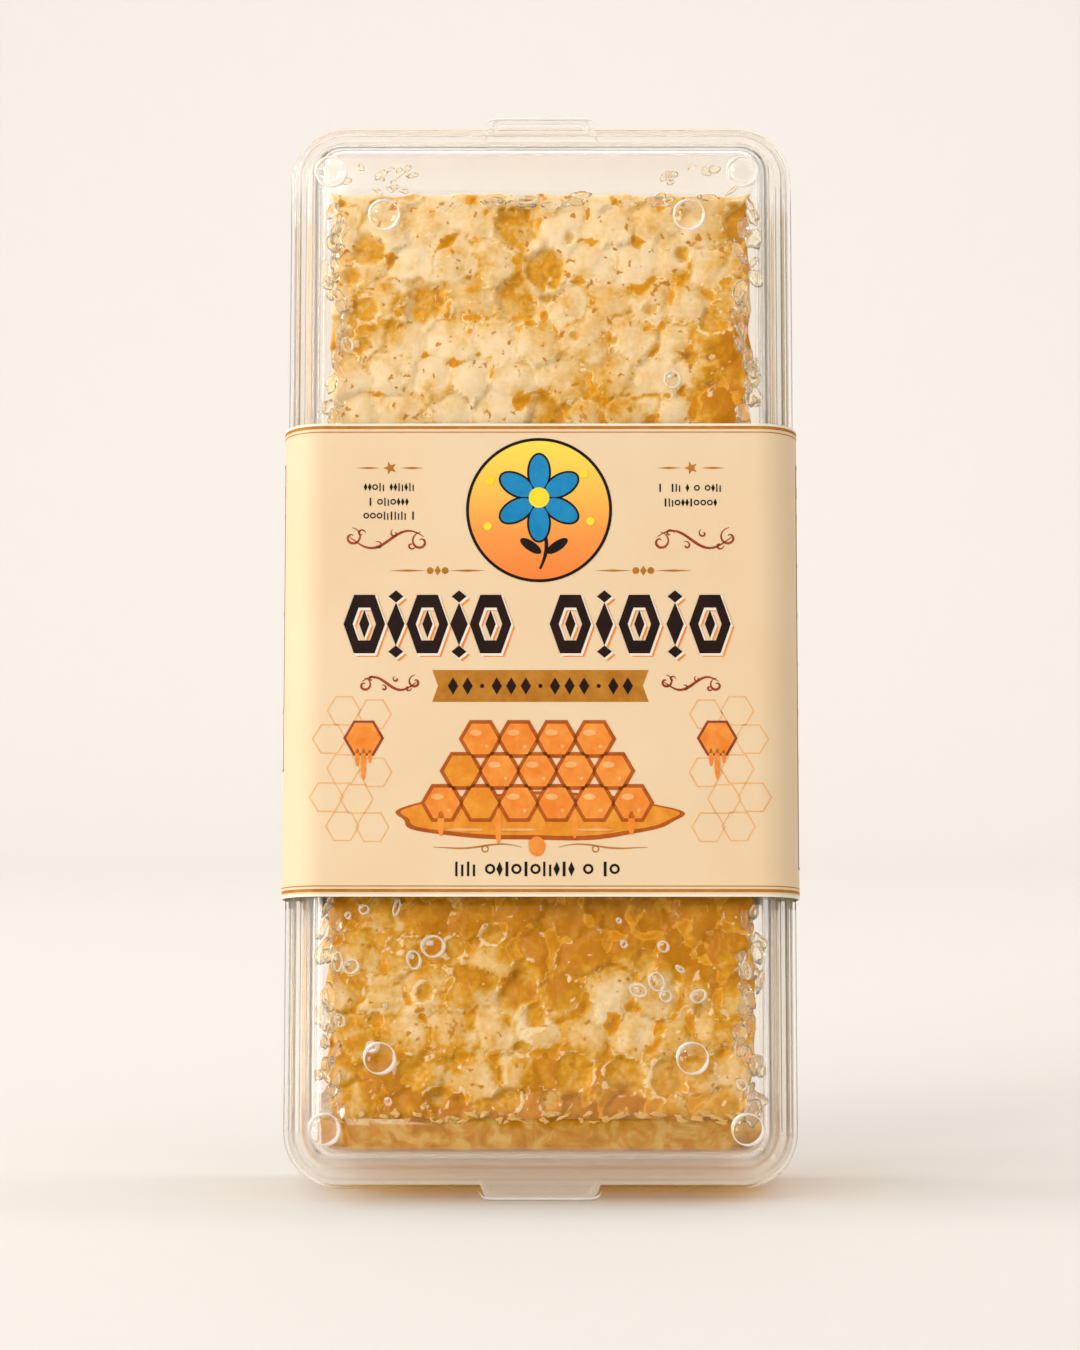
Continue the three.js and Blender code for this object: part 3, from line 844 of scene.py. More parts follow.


# %% [markdown]
# Wax lets light in and spreads it, so the comb glows softly instead of looking like painted
# plaster: that is subsurface scattering, strongest in red. The three stored numbers pick the
# colour, from cream wax over tan to amber honey, with pale wax on the ridges; the small pale
# flecks that share the ridge number are painted glints. A thin clear coat with a bump of its own
# stands for the film of honey that wets it all, and gives the small sharp glints.


# %% Comb wax
def make_comb_wax():
    material, nodes, links, shader = start_material(
        "comb_wax",
        Roughness=0.42,
        Specular_IOR_Level=0.12,
        Subsurface_Weight=0.1,
        Subsurface_Radius=(1.0, 0.5, 0.15),
        Subsurface_Scale=0.8 * MM,
        Coat_Weight=0.35,
        Coat_Roughness=0.06,
        Coat_IOR=1.48,
    )
    place = nodes.new("ShaderNodeTexCoord").outputs["Object"]
    cloud = centred_noise(nodes, links, place, 420, 4, 0.7)
    wobble = centred_noise(nodes, links, place, 1100, 2, 0.8)
    stops = [
        (0.0, screen(239, 216, 176)),
        (0.25, screen(235, 205, 154)),
        (0.5, screen(226, 185, 114)),
        (0.75, screen(213, 154, 28)),
        (1.0, screen(194, 124, 0)),
    ]
    golden = add_math(nodes, links, "ADD", read_attribute(nodes, "golden"), cloud)
    fine = centred_noise(nodes, links, place, 1800, 2, 0.5)
    cap = add_ramp(nodes, links, add_math(nodes, links, "ADD", golden, fine), stops)
    ridge_and_glint = add_math(nodes, links, "ADD", read_attribute(nodes, "ridge_and_glint"), wobble)
    ridge_and_glint_mask = add_ramp(nodes, links, ridge_and_glint, [(0.0, BLACK), (0.1, (0.7, 0.7, 0.7, 1))])
    # The pale ridge colour also paints the glint flecks: painted highlights
    with_ridges_and_glints = add_mix(nodes, links, ridge_and_glint_mask, cap, screen(246, 224, 182))
    gap = add_math(nodes, links, "ADD", read_attribute(nodes, "gap"), wobble)
    gap_mask = add_ramp(nodes, links, gap, [(0.0, BLACK), (0.14, WHITE)])
    amber = add_ramp(nodes, links, gap, [(0.0, screen(232, 172, 48)), (0.5, screen(212, 142, 8))])
    open_wax = add_mix(nodes, links, gap_mask, with_ridges_and_glints, amber)
    speck = add_ramp(nodes, links, add_noise(nodes, links, place, 900, 2), [(0.64, BLACK), (0.69, WHITE)])
    links.new(add_mix(nodes, links, speck, open_wax, screen(196, 130, 36)), shader.inputs["Base Color"])
    ridges = add_math(nodes, links, "MULTIPLY", add_ramp(nodes, links, ridge_and_glint, [(0.0, BLACK), (0.3, WHITE)]), 0.3)
    grain = add_noise(nodes, links, place, 700, 3, 0.6)
    relief = add_math(nodes, links, "ADD", ridges, grain)
    links.new(add_bump(nodes, links, relief, 0.6, 0.2 * MM), shader.inputs["Normal"])
    ripple = add_math(nodes, links, "ADD", ridges, add_noise(nodes, links, place, 1000, 1))
    links.new(add_bump(nodes, links, ripple, 1.0, 0.6 * MM), shader.inputs["Coat Normal"])
    let_light_through(material, COMB_GLOW)
    return material


COMB_GLOW = (0.76, 0.66, 0.36, 1)
comb_wax = make_comb_wax()
comb = make_comb(comb_wax)

# %% [markdown]
# ## Honey at the bottom
#
# Honey has drained to the bottom of the box, level with the floor although the box leans. It is
# grown both ways from its widest outline, cut off at its level and filled, and its skin reaches
# just into the plastic, so that no film of air shows between the two.

# %% The pooled honey
INTO_WALL = 0.05
POOL_SIDE = BASE_BACK_INSET + WALL - INTO_WALL
POOL_FRONT_SIDE = LID_FOOT_INSET + WALL - INTO_WALL
POOL_MIDDLE = 18.0
POOL_TAPER = 0.09
MENISCUS_WIDTH = 0.6
MENISCUS_DEPTH = 0.12
UP = Vector((0, -math.sin(LEAN), math.cos(LEAN)))


def cut_away(bm, point, outwards):
    everything = bm.verts[:] + bm.edges[:] + bm.faces[:]
    bmesh.ops.bisect_plane(bm, geom=everything, plane_co=point, plane_no=outwards, clear_outer=True)
    return bmesh.ops.holes_fill(bm, edges=bm.edges, sides=0)["faces"]


def make_pool(material):
    bm = bmesh.new()
    front = rim_outline(bm, POOL_SIDE, POOL_MIDDLE, 1)
    steps = [(POOL_SIDE, POOL_MIDDLE), (POOL_SIDE, 14.0), (POOL_FRONT_SIDE, 9.0)]
    steps += round_over(POOL_FRONT_SIDE, 9.0, PLATE_INSET + 0.1, WALL - INTO_WALL, 10)
    grow(bm, front, steps, 1)
    behind = bmesh.new()
    back = rim_outline(behind, POOL_SIDE, POOL_MIDDLE, -1)
    inner_back = BOX_DEPTH - WALL + INTO_WALL
    steps = [(POOL_SIDE, POOL_MIDDLE), (POOL_SIDE, inner_back - BASE_CORNER)]
    steps += round_over(POOL_SIDE, inner_back - BASE_CORNER, POOL_SIDE + BASE_CORNER, inner_back, 6)
    grow(behind, back, steps, -1)
    rest = bpy.data.meshes.new("pool_back")
    behind.to_mesh(rest)
    behind.free()
    bm.from_mesh(rest)
    bpy.data.meshes.remove(rest)
    bmesh.ops.remove_doubles(bm, verts=bm.verts, dist=0.01)
    for vert in bm.verts:
        vert.co.x *= 1 - POOL_TAPER * smooth(9, WALL, vert.co.y)
    surface = cut_away(bm, (0, COMB_FRONT, POOL_LEVEL), UP)
    bmesh.ops.inset_region(
        bm, faces=surface, thickness=MENISCUS_WIDTH, depth=-MENISCUS_DEPTH, use_even_offset=True
    )
    bmesh.ops.recalc_face_normals(bm, faces=bm.faces)
    return add_piece(bm, "pooled_honey", material, "honey_pool", 30)


# %% Clear honey, painted pale cream at its lowest part: a painted highlight at the pool's foot
PAINTED_PALE_FOOT = (4.6 * MM, 6.9 * MM)


def make_honey():
    material, nodes, links, shader = start_material(
        "honey",
        Roughness=0.06,
        IOR=1.49,
        Transmission_Weight=0.55,
        Subsurface_Weight=0.6,
        Subsurface_Radius=(1.0, 0.5, 0.12),
        Subsurface_Scale=4 * MM,
    )
    place = nodes.new("ShaderNodeTexCoord").outputs["Object"]
    stops = [(0.38, screen(240, 198, 106)), (0.5, screen(216, 156, 40)), (0.62, screen(194, 126, 6))]
    clouds = add_ramp(nodes, links, add_noise(nodes, links, place, 320, 6, 0.6, 1.0), stops)
    split = nodes.new("ShaderNodeSeparateXYZ")
    links.new(place, split.inputs["Vector"])
    thick = nodes.new("ShaderNodeMapRange")
    thick.interpolation_type = "SMOOTHSTEP"
    thick.inputs["From Min"].default_value = PAINTED_PALE_FOOT[0]
    thick.inputs["From Max"].default_value = PAINTED_PALE_FOOT[1]
    links.new(split.outputs["Z"], thick.inputs["Value"])
    # Below this height the honey is painted pale cream: a painted highlight at the pool's foot
    honey_shade = add_mix(nodes, links, thick.outputs["Result"], screen(255, 236, 208), clouds)
    links.new(honey_shade, shader.inputs["Base Color"])
    let_light_through(material, HONEY_GLOW)
    return material


HONEY_GLOW = (0.9, 0.68, 0.24, 1)
honey = make_honey()
pooled_honey = make_pool(honey)

# %% [markdown]
# ## Wet details
#
# Clear honey hangs between the comb and the plastic. Wobbly flattened beads fill both sides and
# the top edge, and small bubbles show as pale rings, thickest at the upper left and lower right and
# each with a pale bead at its upper left: painted highlights. Crumbs of pale
# wax float where the comb meets the pooled honey. Beads and bubbles are pressed flat where they
# touch the plate, like drops behind a window.

# %% Clear thin honey
HONEY_DROP_SHADE = (0.99, 0.94, 0.84, 1)


def make_clear_honey(name, tint, clearness):
    material, _, _, _ = start_material(
        name, Base_Color=tint, Roughness=0.03, IOR=1.49, Transmission_Weight=clearness
    )
    let_light_through(material, HONEY_DROP_SHADE)
    return material


clear_water = make_clear_honey("clear_smear", screen(255, 247, 230), 0.85)
clear_honey = make_clear_honey("clear_honey", screen(255, 249, 234), 0.92)
bubble_highlight_skin = make_clear_honey("bubble_highlight_skin", screen(255, 250, 238), 0.6)


# %% One bead: a wobbly ball, squashed, turned and pressed flat against the plate
PRESSED_AT = WALL - INTO_WALL


def add_bead(bm, x, z, wide, tall, deep, turn=0.0, wobble=0.25, pressed=PRESSED_AT):
    made = bmesh.ops.create_icosphere(bm, subdivisions=3, radius=1)
    seed = Vector((x * 3.1, z * 2.3, 0))
    spin = Matrix.Rotation(turn, 3, "Y")
    for vert in made["verts"]:
        vert.co *= 1 + wobble * noise.noise(vert.co * 1.2 + seed)
        vert.co = spin @ Vector((vert.co.x * wide, vert.co.y * deep, vert.co.z * tall))
        vert.co += Vector((x, pressed + deep * 0.7, z))
        vert.co.y = max(vert.co.y, pressed)


# %% A round thread along a path, closed at both ends or joined into a ring
def add_thread(bm, path, radius, steps=24, joined=False):
    made = bmesh.ops.create_grid(bm, x_segments=steps, y_segments=6, size=0.5)
    for vert in made["verts"]:
        t = vert.co.x + 0.5
        angle = vert.co.y * 2 * math.pi
        along = (Vector(path(t + 0.01)) - Vector(path(t - 0.01))).normalized()
        sideways = along.cross(Vector((0, 1, 0))).normalized()
        outwards = along.cross(sideways)
        thick = radius(t) if joined else radius * math.sqrt(max(1 - (2 * t - 1) ** 2, 0))
        vert.co = Vector(path(t)) + thick * (math.cos(angle) * sideways + math.sin(angle) * outwards)
    bmesh.ops.remove_doubles(bm, verts=made["verts"], dist=0.0005)


# Thread thickness that swells at the upper left and lower right; on a pale thread this paints highlights there
def thick_at_painted_highlights(thin, thick):
    return lambda t: thin + (thick - thin) * math.cos(2 * math.pi * (t - 0.375)) ** 2


def ring_path(x, y, z, half_wide, half_tall, turn=0.0):
    def path(t):
        across = half_wide * math.cos(2 * math.pi * t)
        up = half_tall * math.sin(2 * math.pi * t)
        cos, sin = math.cos(turn), math.sin(turn)
        return x + across * cos - up * sin, y, z + across * sin + up * cos

    return path


# %% Beads along both sides and over the top of the comb
BEAD_COLUMNS = [(-24.9, 1.1), (25.0, 1.2)]
BEAD_RANGES = [(9.0, 34.0), (92.6, 119.5)]


def make_beads():
    rng = random.Random(5)
    bm = bmesh.new()
    for column, spread in BEAD_COLUMNS:
        for low, high in BEAD_RANGES:
            z = low
            while z < high:
                wide = rng.uniform(0.35, 0.95)
                tall = rng.uniform(0.6, 1.7)
                x = column + rng.uniform(-spread, spread)
                add_bead(bm, x, z, wide, tall, rng.uniform(0.35, 0.6), rng.uniform(-0.5, 0.5), 0.5)
                z += tall * rng.uniform(0.7, 1.3)
    for k in range(16):
        x = rng.uniform(-10, 24)
        add_bead(bm, x, rng.uniform(119.2, 120.9), rng.uniform(0.5, 1.5), rng.uniform(0.25, 0.5), 0.4, 0, 0.5)
    bmesh.ops.recalc_face_normals(bm, faces=bm.faces)
    return add_piece(bm, "honey_beads", clear_honey)


def make_top_smears():
    rng = random.Random(8)
    bm = bmesh.new()
    for k in range(22):
        x = rng.choice((-1, -1, 1)) * rng.uniform(14, 25)
        z = rng.uniform(121.0, 124.4)
        add_bead(bm, x, z, rng.uniform(0.3, 0.9), rng.uniform(0.2, 0.6), 0.2, rng.uniform(-0.8, 0.8), 0.6)
    bmesh.ops.recalc_face_normals(bm, faces=bm.faces)
    return add_piece(bm, "top_smears", clear_water)


# %% Bubbles, ring by ring, as seen through the plate: x, z, half width, half height, turn
BUBBLES = [
    (16.0, 97.7, 1.15, 1.2, 0), (-21.1, 33.2, 0.7, 0.7, 0), (-23.0, 32.5, 0.45, 0.5, 0),
    (-17.2, 33.4, 0.5, 1.1, -0.3), (-12.8, 28.8, 1.55, 1.45, 0.3), (-15.1, 27.2, 0.95, 1.25, 0.2),
    (-18.5, 21.7, 0.3, 0.32, 0), (-18.1, 10.4, 0.5, 0.55, 0), (9.4, 31.9, 0.4, 0.4, 0),
    (10.0, 29.1, 0.5, 0.55, 0), (14.7, 28.8, 0.75, 0.8, 0.4), (16.7, 26.1, 0.7, 0.4, -0.5),
    (13.9, 24.6, 1.05, 1.3, 0.4), (11.7, 23.6, 1.2, 0.9, -0.3), (18.9, 22.9, 1.1, 0.9, 0.5),
    (15.0, 22.9, 0.85, 0.85, 0), (-1.7, 120.1, 1.5, 0.75, 0), (-24.2, 27.0, 0.7, 1.3, 0),
    (-22.6, 26.4, 1.1, 1.0, 0.4), (-20.0, 16.8, 0.9, 0.8, 0), (24.6, 26.0, 0.6, 1.2, 0.2),
    (-23.9, 20.0, 0.7, 0.9, 0.3), (24.0, 12.4, 0.7, 0.8, 0.5), (-23.5, 102.0, 0.8, 1.0, 0.4),
]
BUBBLE_FRONT = PRESSED_AT + 0.2


def make_bubbles():
    bm = bmesh.new()
    for x, z, half_wide, half_tall, turn in BUBBLES:
        thick = 0.13 + 0.06 * half_wide
        path = ring_path(x, BUBBLE_FRONT, z, half_wide - thick, half_tall - thick, turn)
        add_thread(bm, path, thick_at_painted_highlights(thick * 0.6, thick * 1.3), 28, True)
        # A pale bead at the upper left of each ring: a painted highlight
        add_bead(bm, x - 0.25 * half_wide, z + 0.3 * half_tall, 0.3 * half_wide, 0.26 * half_tall, 0.25)
    bmesh.ops.recalc_face_normals(bm, faces=bm.faces)
    return add_piece(bm, "bubbles", bubble_highlight_skin)


# %% Crumbs of wax along the honey's level
def make_crumbs():
    rng = random.Random(11)
    bm = bmesh.new()
    x = -25.2
    while x < 25.2:
        wide = rng.uniform(0.3, 1.0)
        level = POOL_LEVEL + rng.uniform(-0.5, 0.6)
        add_bead(bm, x, level, wide, rng.uniform(0.15, 0.4), 0.35, rng.uniform(-0.5, 0.5), 0.9, PRESSED_AT - 0.06)
        x += wide * rng.uniform(0.9, 3.2)
    bmesh.ops.recalc_face_normals(bm, faces=bm.faces)
    crumb_wax, _, _, _ = start_material(
        "crumb_wax", Base_Color=screen(226, 184, 112), Roughness=0.3, Specular_IOR_Level=0.4
    )
    let_light_through(crumb_wax, COMB_GLOW)
    return add_piece(bm, "wax_crumbs", crumb_wax)


honey_beads = make_beads()
top_smears = make_top_smears()
bubbles = make_bubbles()
wax_crumbs = make_crumbs()

# %% [markdown]
# The foot of each dome on the lid is a fine raised ring. It is milky white and rougher than the
# rest, so it shows as a thin white circle: a painted highlight for the bright ring of light round
# each dome, thickest at the upper left and lower right.

# %% Rings round the domes, and a line round each tab
TAB_LINE = 0.2


def tab_path(tab, rim_z, outwards):
    def path(t):
        turn = math.pi * (1 - t)
        across = math.copysign(abs(math.cos(turn)) ** 0.2, math.cos(turn))
        reach = (tab["reach"] - 3.5 * TAB_LINE) * max(math.sin(turn), 0) ** 0.2
        half = tab["root"] + (tab["end"] - tab["root"]) * reach / tab["reach"] - TAB_LINE
        return half * across, TAB_FRONT, rim_z + outwards * reach

    return path


def make_dome_rings():
    bm = bmesh.new()
    for across, up in DOME_PAIRS:
        for x in (DOME_SHIFT - across, DOME_SHIFT + across):
            path = ring_path(x, -0.05, up, DOME_RADIUS - 0.2, DOME_RADIUS - 0.2)
            add_thread(bm, path, thick_at_painted_highlights(0.13, 0.32), 48, True)
    for tab, rim_z, outwards in ((LOWER_TAB, 0, -1), (UPPER_TAB, BOX_HEIGHT, 1)):
        add_thread(bm, tab_path(tab, rim_z, outwards), TAB_LINE, 64)
    bmesh.ops.recalc_face_normals(bm, faces=bm.faces)
    frosted_highlight, _, _, _ = start_material(
        "frosted_highlight_plastic", Base_Color=screen(255, 252, 247), Roughness=0.25, IOR=1.49, Transmission_Weight=0.35
    )
    let_light_through(frosted_highlight, PLASTIC_SHADE)
    return add_piece(bm, "dome_rings", frosted_highlight)


dome_rings = make_dome_rings()

# %% [markdown]
# ## Paper band
#
# The band is one strip of heavy paper, wrapped tightly round both shells and glued behind. Its
# course round the box is worked out once: a flat front, two quarter ellipses over the lid's
# shoulders, the sides, two small back corners and the back. The strip is drawn flat, as a printer
# would, and then wrapped: each point's distance along the strip picks a place on the course.
# The print uses the same wrap, so it follows the paper round the bends.

# %% The band's course, as seen from above
BAND_FLAT = 26.4
BAND_BEND_DEPTH = SEAM_DEPTH + 0.7


def course_part(part, t):
    half = BOX_WIDTH / 2
    back_half = half - BASE_BACK_INSET
    behind = BOX_DEPTH - BASE_CORNER
    angle = t * math.pi / 2
    if part == "front":
        return t * BAND_FLAT, 0
    if part == "bend":
        across = BAND_FLAT + (half - BAND_FLAT) * math.sin(angle)
        return across, BAND_BEND_DEPTH * (1 - math.cos(angle))
    if part == "side":
        across = half - smooth(0.1, 0.3, t) * BASE_BACK_INSET
        return across, BAND_BEND_DEPTH + (behind - BAND_BEND_DEPTH) * t
    if part == "corner":
        across = back_half - BASE_CORNER + BASE_CORNER * math.cos(angle)
        return across, behind + BASE_CORNER * math.sin(angle)
    return (back_half - BASE_CORNER) * (1 - t), BOX_DEPTH


course_points = []
for part in ("front", "bend", "side", "corner", "back"):
    course_points += [Vector(course_part(part, k / 40)) for k in range(40)]
course_points.append(Vector(course_part("back", 1)))
course_distances = [0.0]
for here, there in zip(course_points, course_points[1:]):
    course_distances.append(course_distances[-1] + (there - here).length)
BAND_HALF_LENGTH = course_distances[-1]
print(f"the band is {2 * BAND_HALF_LENGTH:.1f} mm long")


# %% Wrap a flat drawing round the box: x is the distance along the strip, y is minus its height
def course_at(distance):
    distance = (distance + BAND_HALF_LENGTH) % (2 * BAND_HALF_LENGTH) - BAND_HALF_LENGTH
    k = max(bisect.bisect_left(course_distances, abs(distance)), 1)
    k = min(k, len(course_points) - 1)
    span = course_distances[k] - course_distances[k - 1]
    spot = course_points[k - 1].lerp(course_points[k], (abs(distance) - course_distances[k - 1]) / span)
    return Vector((math.copysign(spot.x, distance), spot.y))


def wrap(bm):
    for vert in bm.verts:
        distance, drop, up = vert.co
        spot = course_at(distance)
        along = (course_at(distance + 0.1) - course_at(distance - 0.1)).normalized()
        vert.co = (spot.x - along.y * drop, spot.y + along.x * drop, up)


# %% The paper strip, with its lap at the back
PAPER_INSIDE = 0.12
PAPER_OUTSIDE = 0.33
LAP = 9.0
STRIP_STEP = 0.6


def make_strip(low, high, inside, outside):
    bm = bmesh.new()
    long = 2 * BAND_HALF_LENGTH + LAP
    rows = max(round((high - low) / 6), 1)
    made = bmesh.ops.create_grid(bm, x_segments=round(long / STRIP_STEP), y_segments=rows, size=0.5)
    bmesh.ops.scale(bm, vec=(long, high - low, 1), verts=made["verts"])
    bmesh.ops.transform(bm, matrix=Matrix.Rotation(math.pi / 2, 4, "X"), verts=bm.verts)
    bmesh.ops.translate(bm, vec=(LAP / 2, -outside, (low + high) / 2), verts=bm.verts)
    grown = bmesh.ops.extrude_face_region(bm, geom=bm.faces[:], use_keep_orig=True)
    moved = [element for element in grown["geom"] if isinstance(element, bmesh.types.BMVert)]
    bmesh.ops.translate(bm, vec=(0, outside - inside, 0), verts=moved)
    for vert in bm.verts:
        rise = smooth(BAND_HALF_LENGTH - 3, BAND_HALF_LENGTH, vert.co.x)
        vert.co.y -= rise * (PAPER_OUTSIDE - PAPER_INSIDE + 0.02)
    bmesh.ops.recalc_face_normals(bm, faces=bm.faces)
    wrap(bm)
    return bm


# %% [markdown]
# The paper is smooth and uncoated: a fine fibre bump, a faint cloudiness and a soft sheen. The
# printed cream stops a hair short of both cut edges, where the white paper shows.


# %% Printed and bare paper
def make_paper(name, colour, darker):
    material, nodes, links, shader = start_material(
        name, Roughness=0.55, Specular_IOR_Level=0.35, Sheen_Weight=0.08
    )
    place = nodes.new("ShaderNodeTexCoord").outputs["Object"]
    cloud = add_noise(nodes, links, place, 60, 4)
    fibre = add_noise(nodes, links, place, 2600, 3)
    tint = add_ramp(nodes, links, cloud, [(0.35, darker), (0.65, colour)])
    links.new(tint, shader.inputs["Base Color"])
    links.new(add_bump(nodes, links, fibre, 0.25, 0.06 * MM), shader.inputs["Normal"])
    return material


BAND_MARGIN = 0.33
FIELD_OUTSIDE = PAPER_OUTSIDE + 0.02
paper_white = make_paper("paper_white", screen(238, 232, 216), screen(235, 227, 209))
paper_cream = make_paper("paper_cream", screen(234, 208, 171), screen(231, 203, 164))
band = add_piece(
    make_strip(BAND_LOW, BAND_HIGH, PAPER_INSIDE, PAPER_OUTSIDE),
    "paper_band",
    paper_white,
    "paper_band",
    40,
)
field = add_piece(
    make_strip(BAND_LOW + BAND_MARGIN, BAND_HIGH - BAND_MARGIN, PAPER_INSIDE + 0.02, FIELD_OUTSIDE),
    "band_field",
    paper_cream,
    None,
    40,
)

# %% [markdown]
# ## Print
#
# The band carries a printed design in dark brown, gold, red-brown and orange: double gold rules
# along both edges, a round picture, a bold frieze, a ribbon, scrolls, a picture of comb cells and
# small lines that only hint at writing. Every motif is drawn flat in millimetres, x across from
# the middle and y up from the box's foot. Shapes of one ink are gathered in one mesh, given a
# hair of thickness, cut where the paper bends, and wrapped with the paper.

# %% Flat shapes: each helper adds one shape to a drawing
INK_LAYER = 0.02


def add_shape(bm, sides, x, up, wide, tall, turn=0.0):
    made = bmesh.ops.create_circle(bm, cap_ends=True, segments=sides, radius=1)
    bmesh.ops.rotate(bm, cent=(0, 0, 0), matrix=Matrix.Rotation(turn, 3, "Z"), verts=made["verts"])
    bmesh.ops.scale(bm, vec=(wide, tall, 1), verts=made["verts"])
    bmesh.ops.translate(bm, vec=(x, up, 0), verts=made["verts"])
    return made["verts"]


def add_bar(bm, x, up, wide, tall, turn=0.0):
    made = bmesh.ops.create_grid(bm, x_segments=1, y_segments=1, size=0.5)
    bmesh.ops.scale(bm, vec=(wide, tall, 1), verts=made["verts"])
    bmesh.ops.rotate(bm, cent=(0, 0, 0), matrix=Matrix.Rotation(turn, 3, "Z"), verts=made["verts"])
    bmesh.ops.translate(bm, vec=(x, up, 0), verts=made["verts"])
    return made["verts"]


def add_star(bm, x, up, radius, points=5):
    verts = add_shape(bm, 2 * points, x, up, radius, radius, math.pi / 2)
    middle = Vector((x, up, 0))
    for vert in verts[1::2]:
        vert.co = middle.lerp(vert.co, 0.42)


def add_ring(bm, sides, x, up, radius, width, turn=0.0):
    verts = add_shape(bm, sides, x, up, radius, radius, turn)
    faces = list({face for vert in verts for face in vert.link_faces})
    bm.normal_update()
    bmesh.ops.inset_region(bm, faces=faces, thickness=width, use_even_offset=True, use_boundary=True)
    bmesh.ops.delete(bm, geom=faces, context="FACES")


# %% A stroke that tapers, along a path given as a function of t from 0 to 1
def add_stroke(bm, path, width, steps=20, taper=0.25):
    made = bmesh.ops.create_grid(bm, x_segments=steps, y_segments=1, size=0.5)
    for vert in made["verts"]:
        t = vert.co.x + 0.5
        side = vert.co.y * 2
        here = Vector(path(t))
        along = (Vector(path(t + 0.01)) - Vector(path(t - 0.01))).normalized()
        half = width / 2 * (taper + (1 - taper) * math.sin(math.pi * min(max(t, 0), 1)))
        vert.co = (here.x - along.y * side * half, here.y + along.x * side * half, 0)


def curl(x, up, size, turns, start, mirror=1):
    def path(t):
        angle = start + turns * 2 * math.pi * t
        radius = size * (1 - 0.82 * t)
        return x + mirror * radius * math.cos(angle), up + radius * math.sin(angle)

    return path


# %% Turn a drawing into ink on the band
BEND_CUT_STEP = 0.6


def print_ink(bm, name, material, layer):
    height = FIELD_OUTSIDE + INK_LAYER * layer
    reach = max(abs(vert.co.x) for vert in bm.verts)
    cut = BAND_FLAT
    while cut < reach:
        for side in (-cut, cut):
            everything = bm.verts[:] + bm.edges[:] + bm.faces[:]
            bmesh.ops.bisect_plane(bm, geom=everything, plane_co=(side, 0, 0), plane_no=(1, 0, 0))
        cut += BEND_CUT_STEP
    bmesh.ops.transform(bm, matrix=Matrix.Rotation(math.pi / 2, 4, "X"), verts=bm.verts)
    bmesh.ops.translate(bm, vec=(0, -height, 0), verts=bm.verts)
    grown = bmesh.ops.extrude_face_region(bm, geom=bm.faces[:], use_keep_orig=True)
    moved = [element for element in grown["geom"] if isinstance(element, bmesh.types.BMVert)]
    bmesh.ops.translate(bm, vec=(0, height - PAPER_INSIDE - 0.05, 0), verts=moved)
    wrap(bm)
    bmesh.ops.recalc_face_normals(bm, faces=bm.faces)
    return add_piece(bm, name, material, None, 40)


# %% Inks: matt colours that are a little uneven, as print on uncoated paper is
def make_ink(name, colour, worn):
    material, nodes, links, shader = start_material(name, Roughness=0.5, Specular_IOR_Level=0.2)
    place = nodes.new("ShaderNodeTexCoord").outputs["Object"]
    patches = add_noise(nodes, links, place, 500, 5, 0.65)
    ink = add_ramp(nodes, links, patches, [(0.38, colour), (0.72, worn)])
    links.new(ink, shader.inputs["Base Color"])
    links.new(add_bump(nodes, links, patches, 0.2, 0.04 * MM), shader.inputs["Normal"])
    return material


gold_ink = make_ink("gold_ink", screen(172, 108, 22), screen(192, 132, 46))
brown_ink = make_ink("brown_ink", screen(22, 4, 0), screen(40, 12, 4))
red_ink = make_ink("red_ink", screen(140, 52, 26), screen(164, 80, 50))
black_ink = make_ink("black_ink", screen(12, 6, 2), screen(26, 18, 12))
orange_ink = make_ink("orange_ink", screen(232, 128, 40), screen(242, 158, 70))
amber_ink = make_ink("amber_ink", screen(222, 134, 30), screen(238, 164, 62))
deep_amber_ink = make_ink("deep_amber_ink", screen(166, 76, 14), screen(190, 98, 28))
pale_orange_ink = make_ink("pale_orange_ink", screen(232, 168, 98), screen(240, 190, 130))

# %% [markdown]
# The double rules run right round the band, so they are strips of their own, like the paper but
# very narrow. Each is a hair thicker than the field it lies on.

# %% Double gold rules along both edges
RULE_LINES = [(91.33, 91.69), (90.88, 91.0), (35.9, 36.02), (35.25, 35.61)]


def print_rules():
    for k, (low, high) in enumerate(RULE_LINES):
        strip = make_strip(low, high, PAPER_INSIDE + 0.05, FIELD_OUTSIDE + INK_LAYER)
        add_piece(strip, f"gold_rule_{k + 1}", gold_ink, None, 40)


print_rules()

# %% [markdown]
# The round picture fades from yellow above to orange below inside a black ring. It holds a plain
# flower with six blue petals, drawn with turned ellipses.

# %% The round picture
ROUND_X = -0.18
ROUND_UP = 81.4
ROUND_RADIUS = 8.7


def make_sunset_ink():
    material, nodes, links, shader = start_material("sunset_ink", Roughness=0.5)
    place = nodes.new("ShaderNodeTexCoord").outputs["Object"]
    split = nodes.new("ShaderNodeSeparateXYZ")
    links.new(place, split.inputs["Vector"])
    low = (LEAN_BACK @ Vector((0, 0, ROUND_UP - ROUND_RADIUS))).z * MM
    high = (LEAN_BACK @ Vector((0, 0, ROUND_UP + ROUND_RADIUS))).z * MM
    span = nodes.new("ShaderNodeMapRange")
    span.inputs["From Min"].default_value = low
    span.inputs["From Max"].default_value = high
    links.new(split.outputs["Z"], span.inputs["Value"])
    stops = [(0.0, screen(240, 124, 44)), (0.35, screen(246, 152, 62)), (0.7, screen(250, 196, 76))]
    stops.append((1.0, screen(250, 222, 74)))
    links.new(add_ramp(nodes, links, span.outputs["Result"], stops), shader.inputs["Base Color"])
    return material


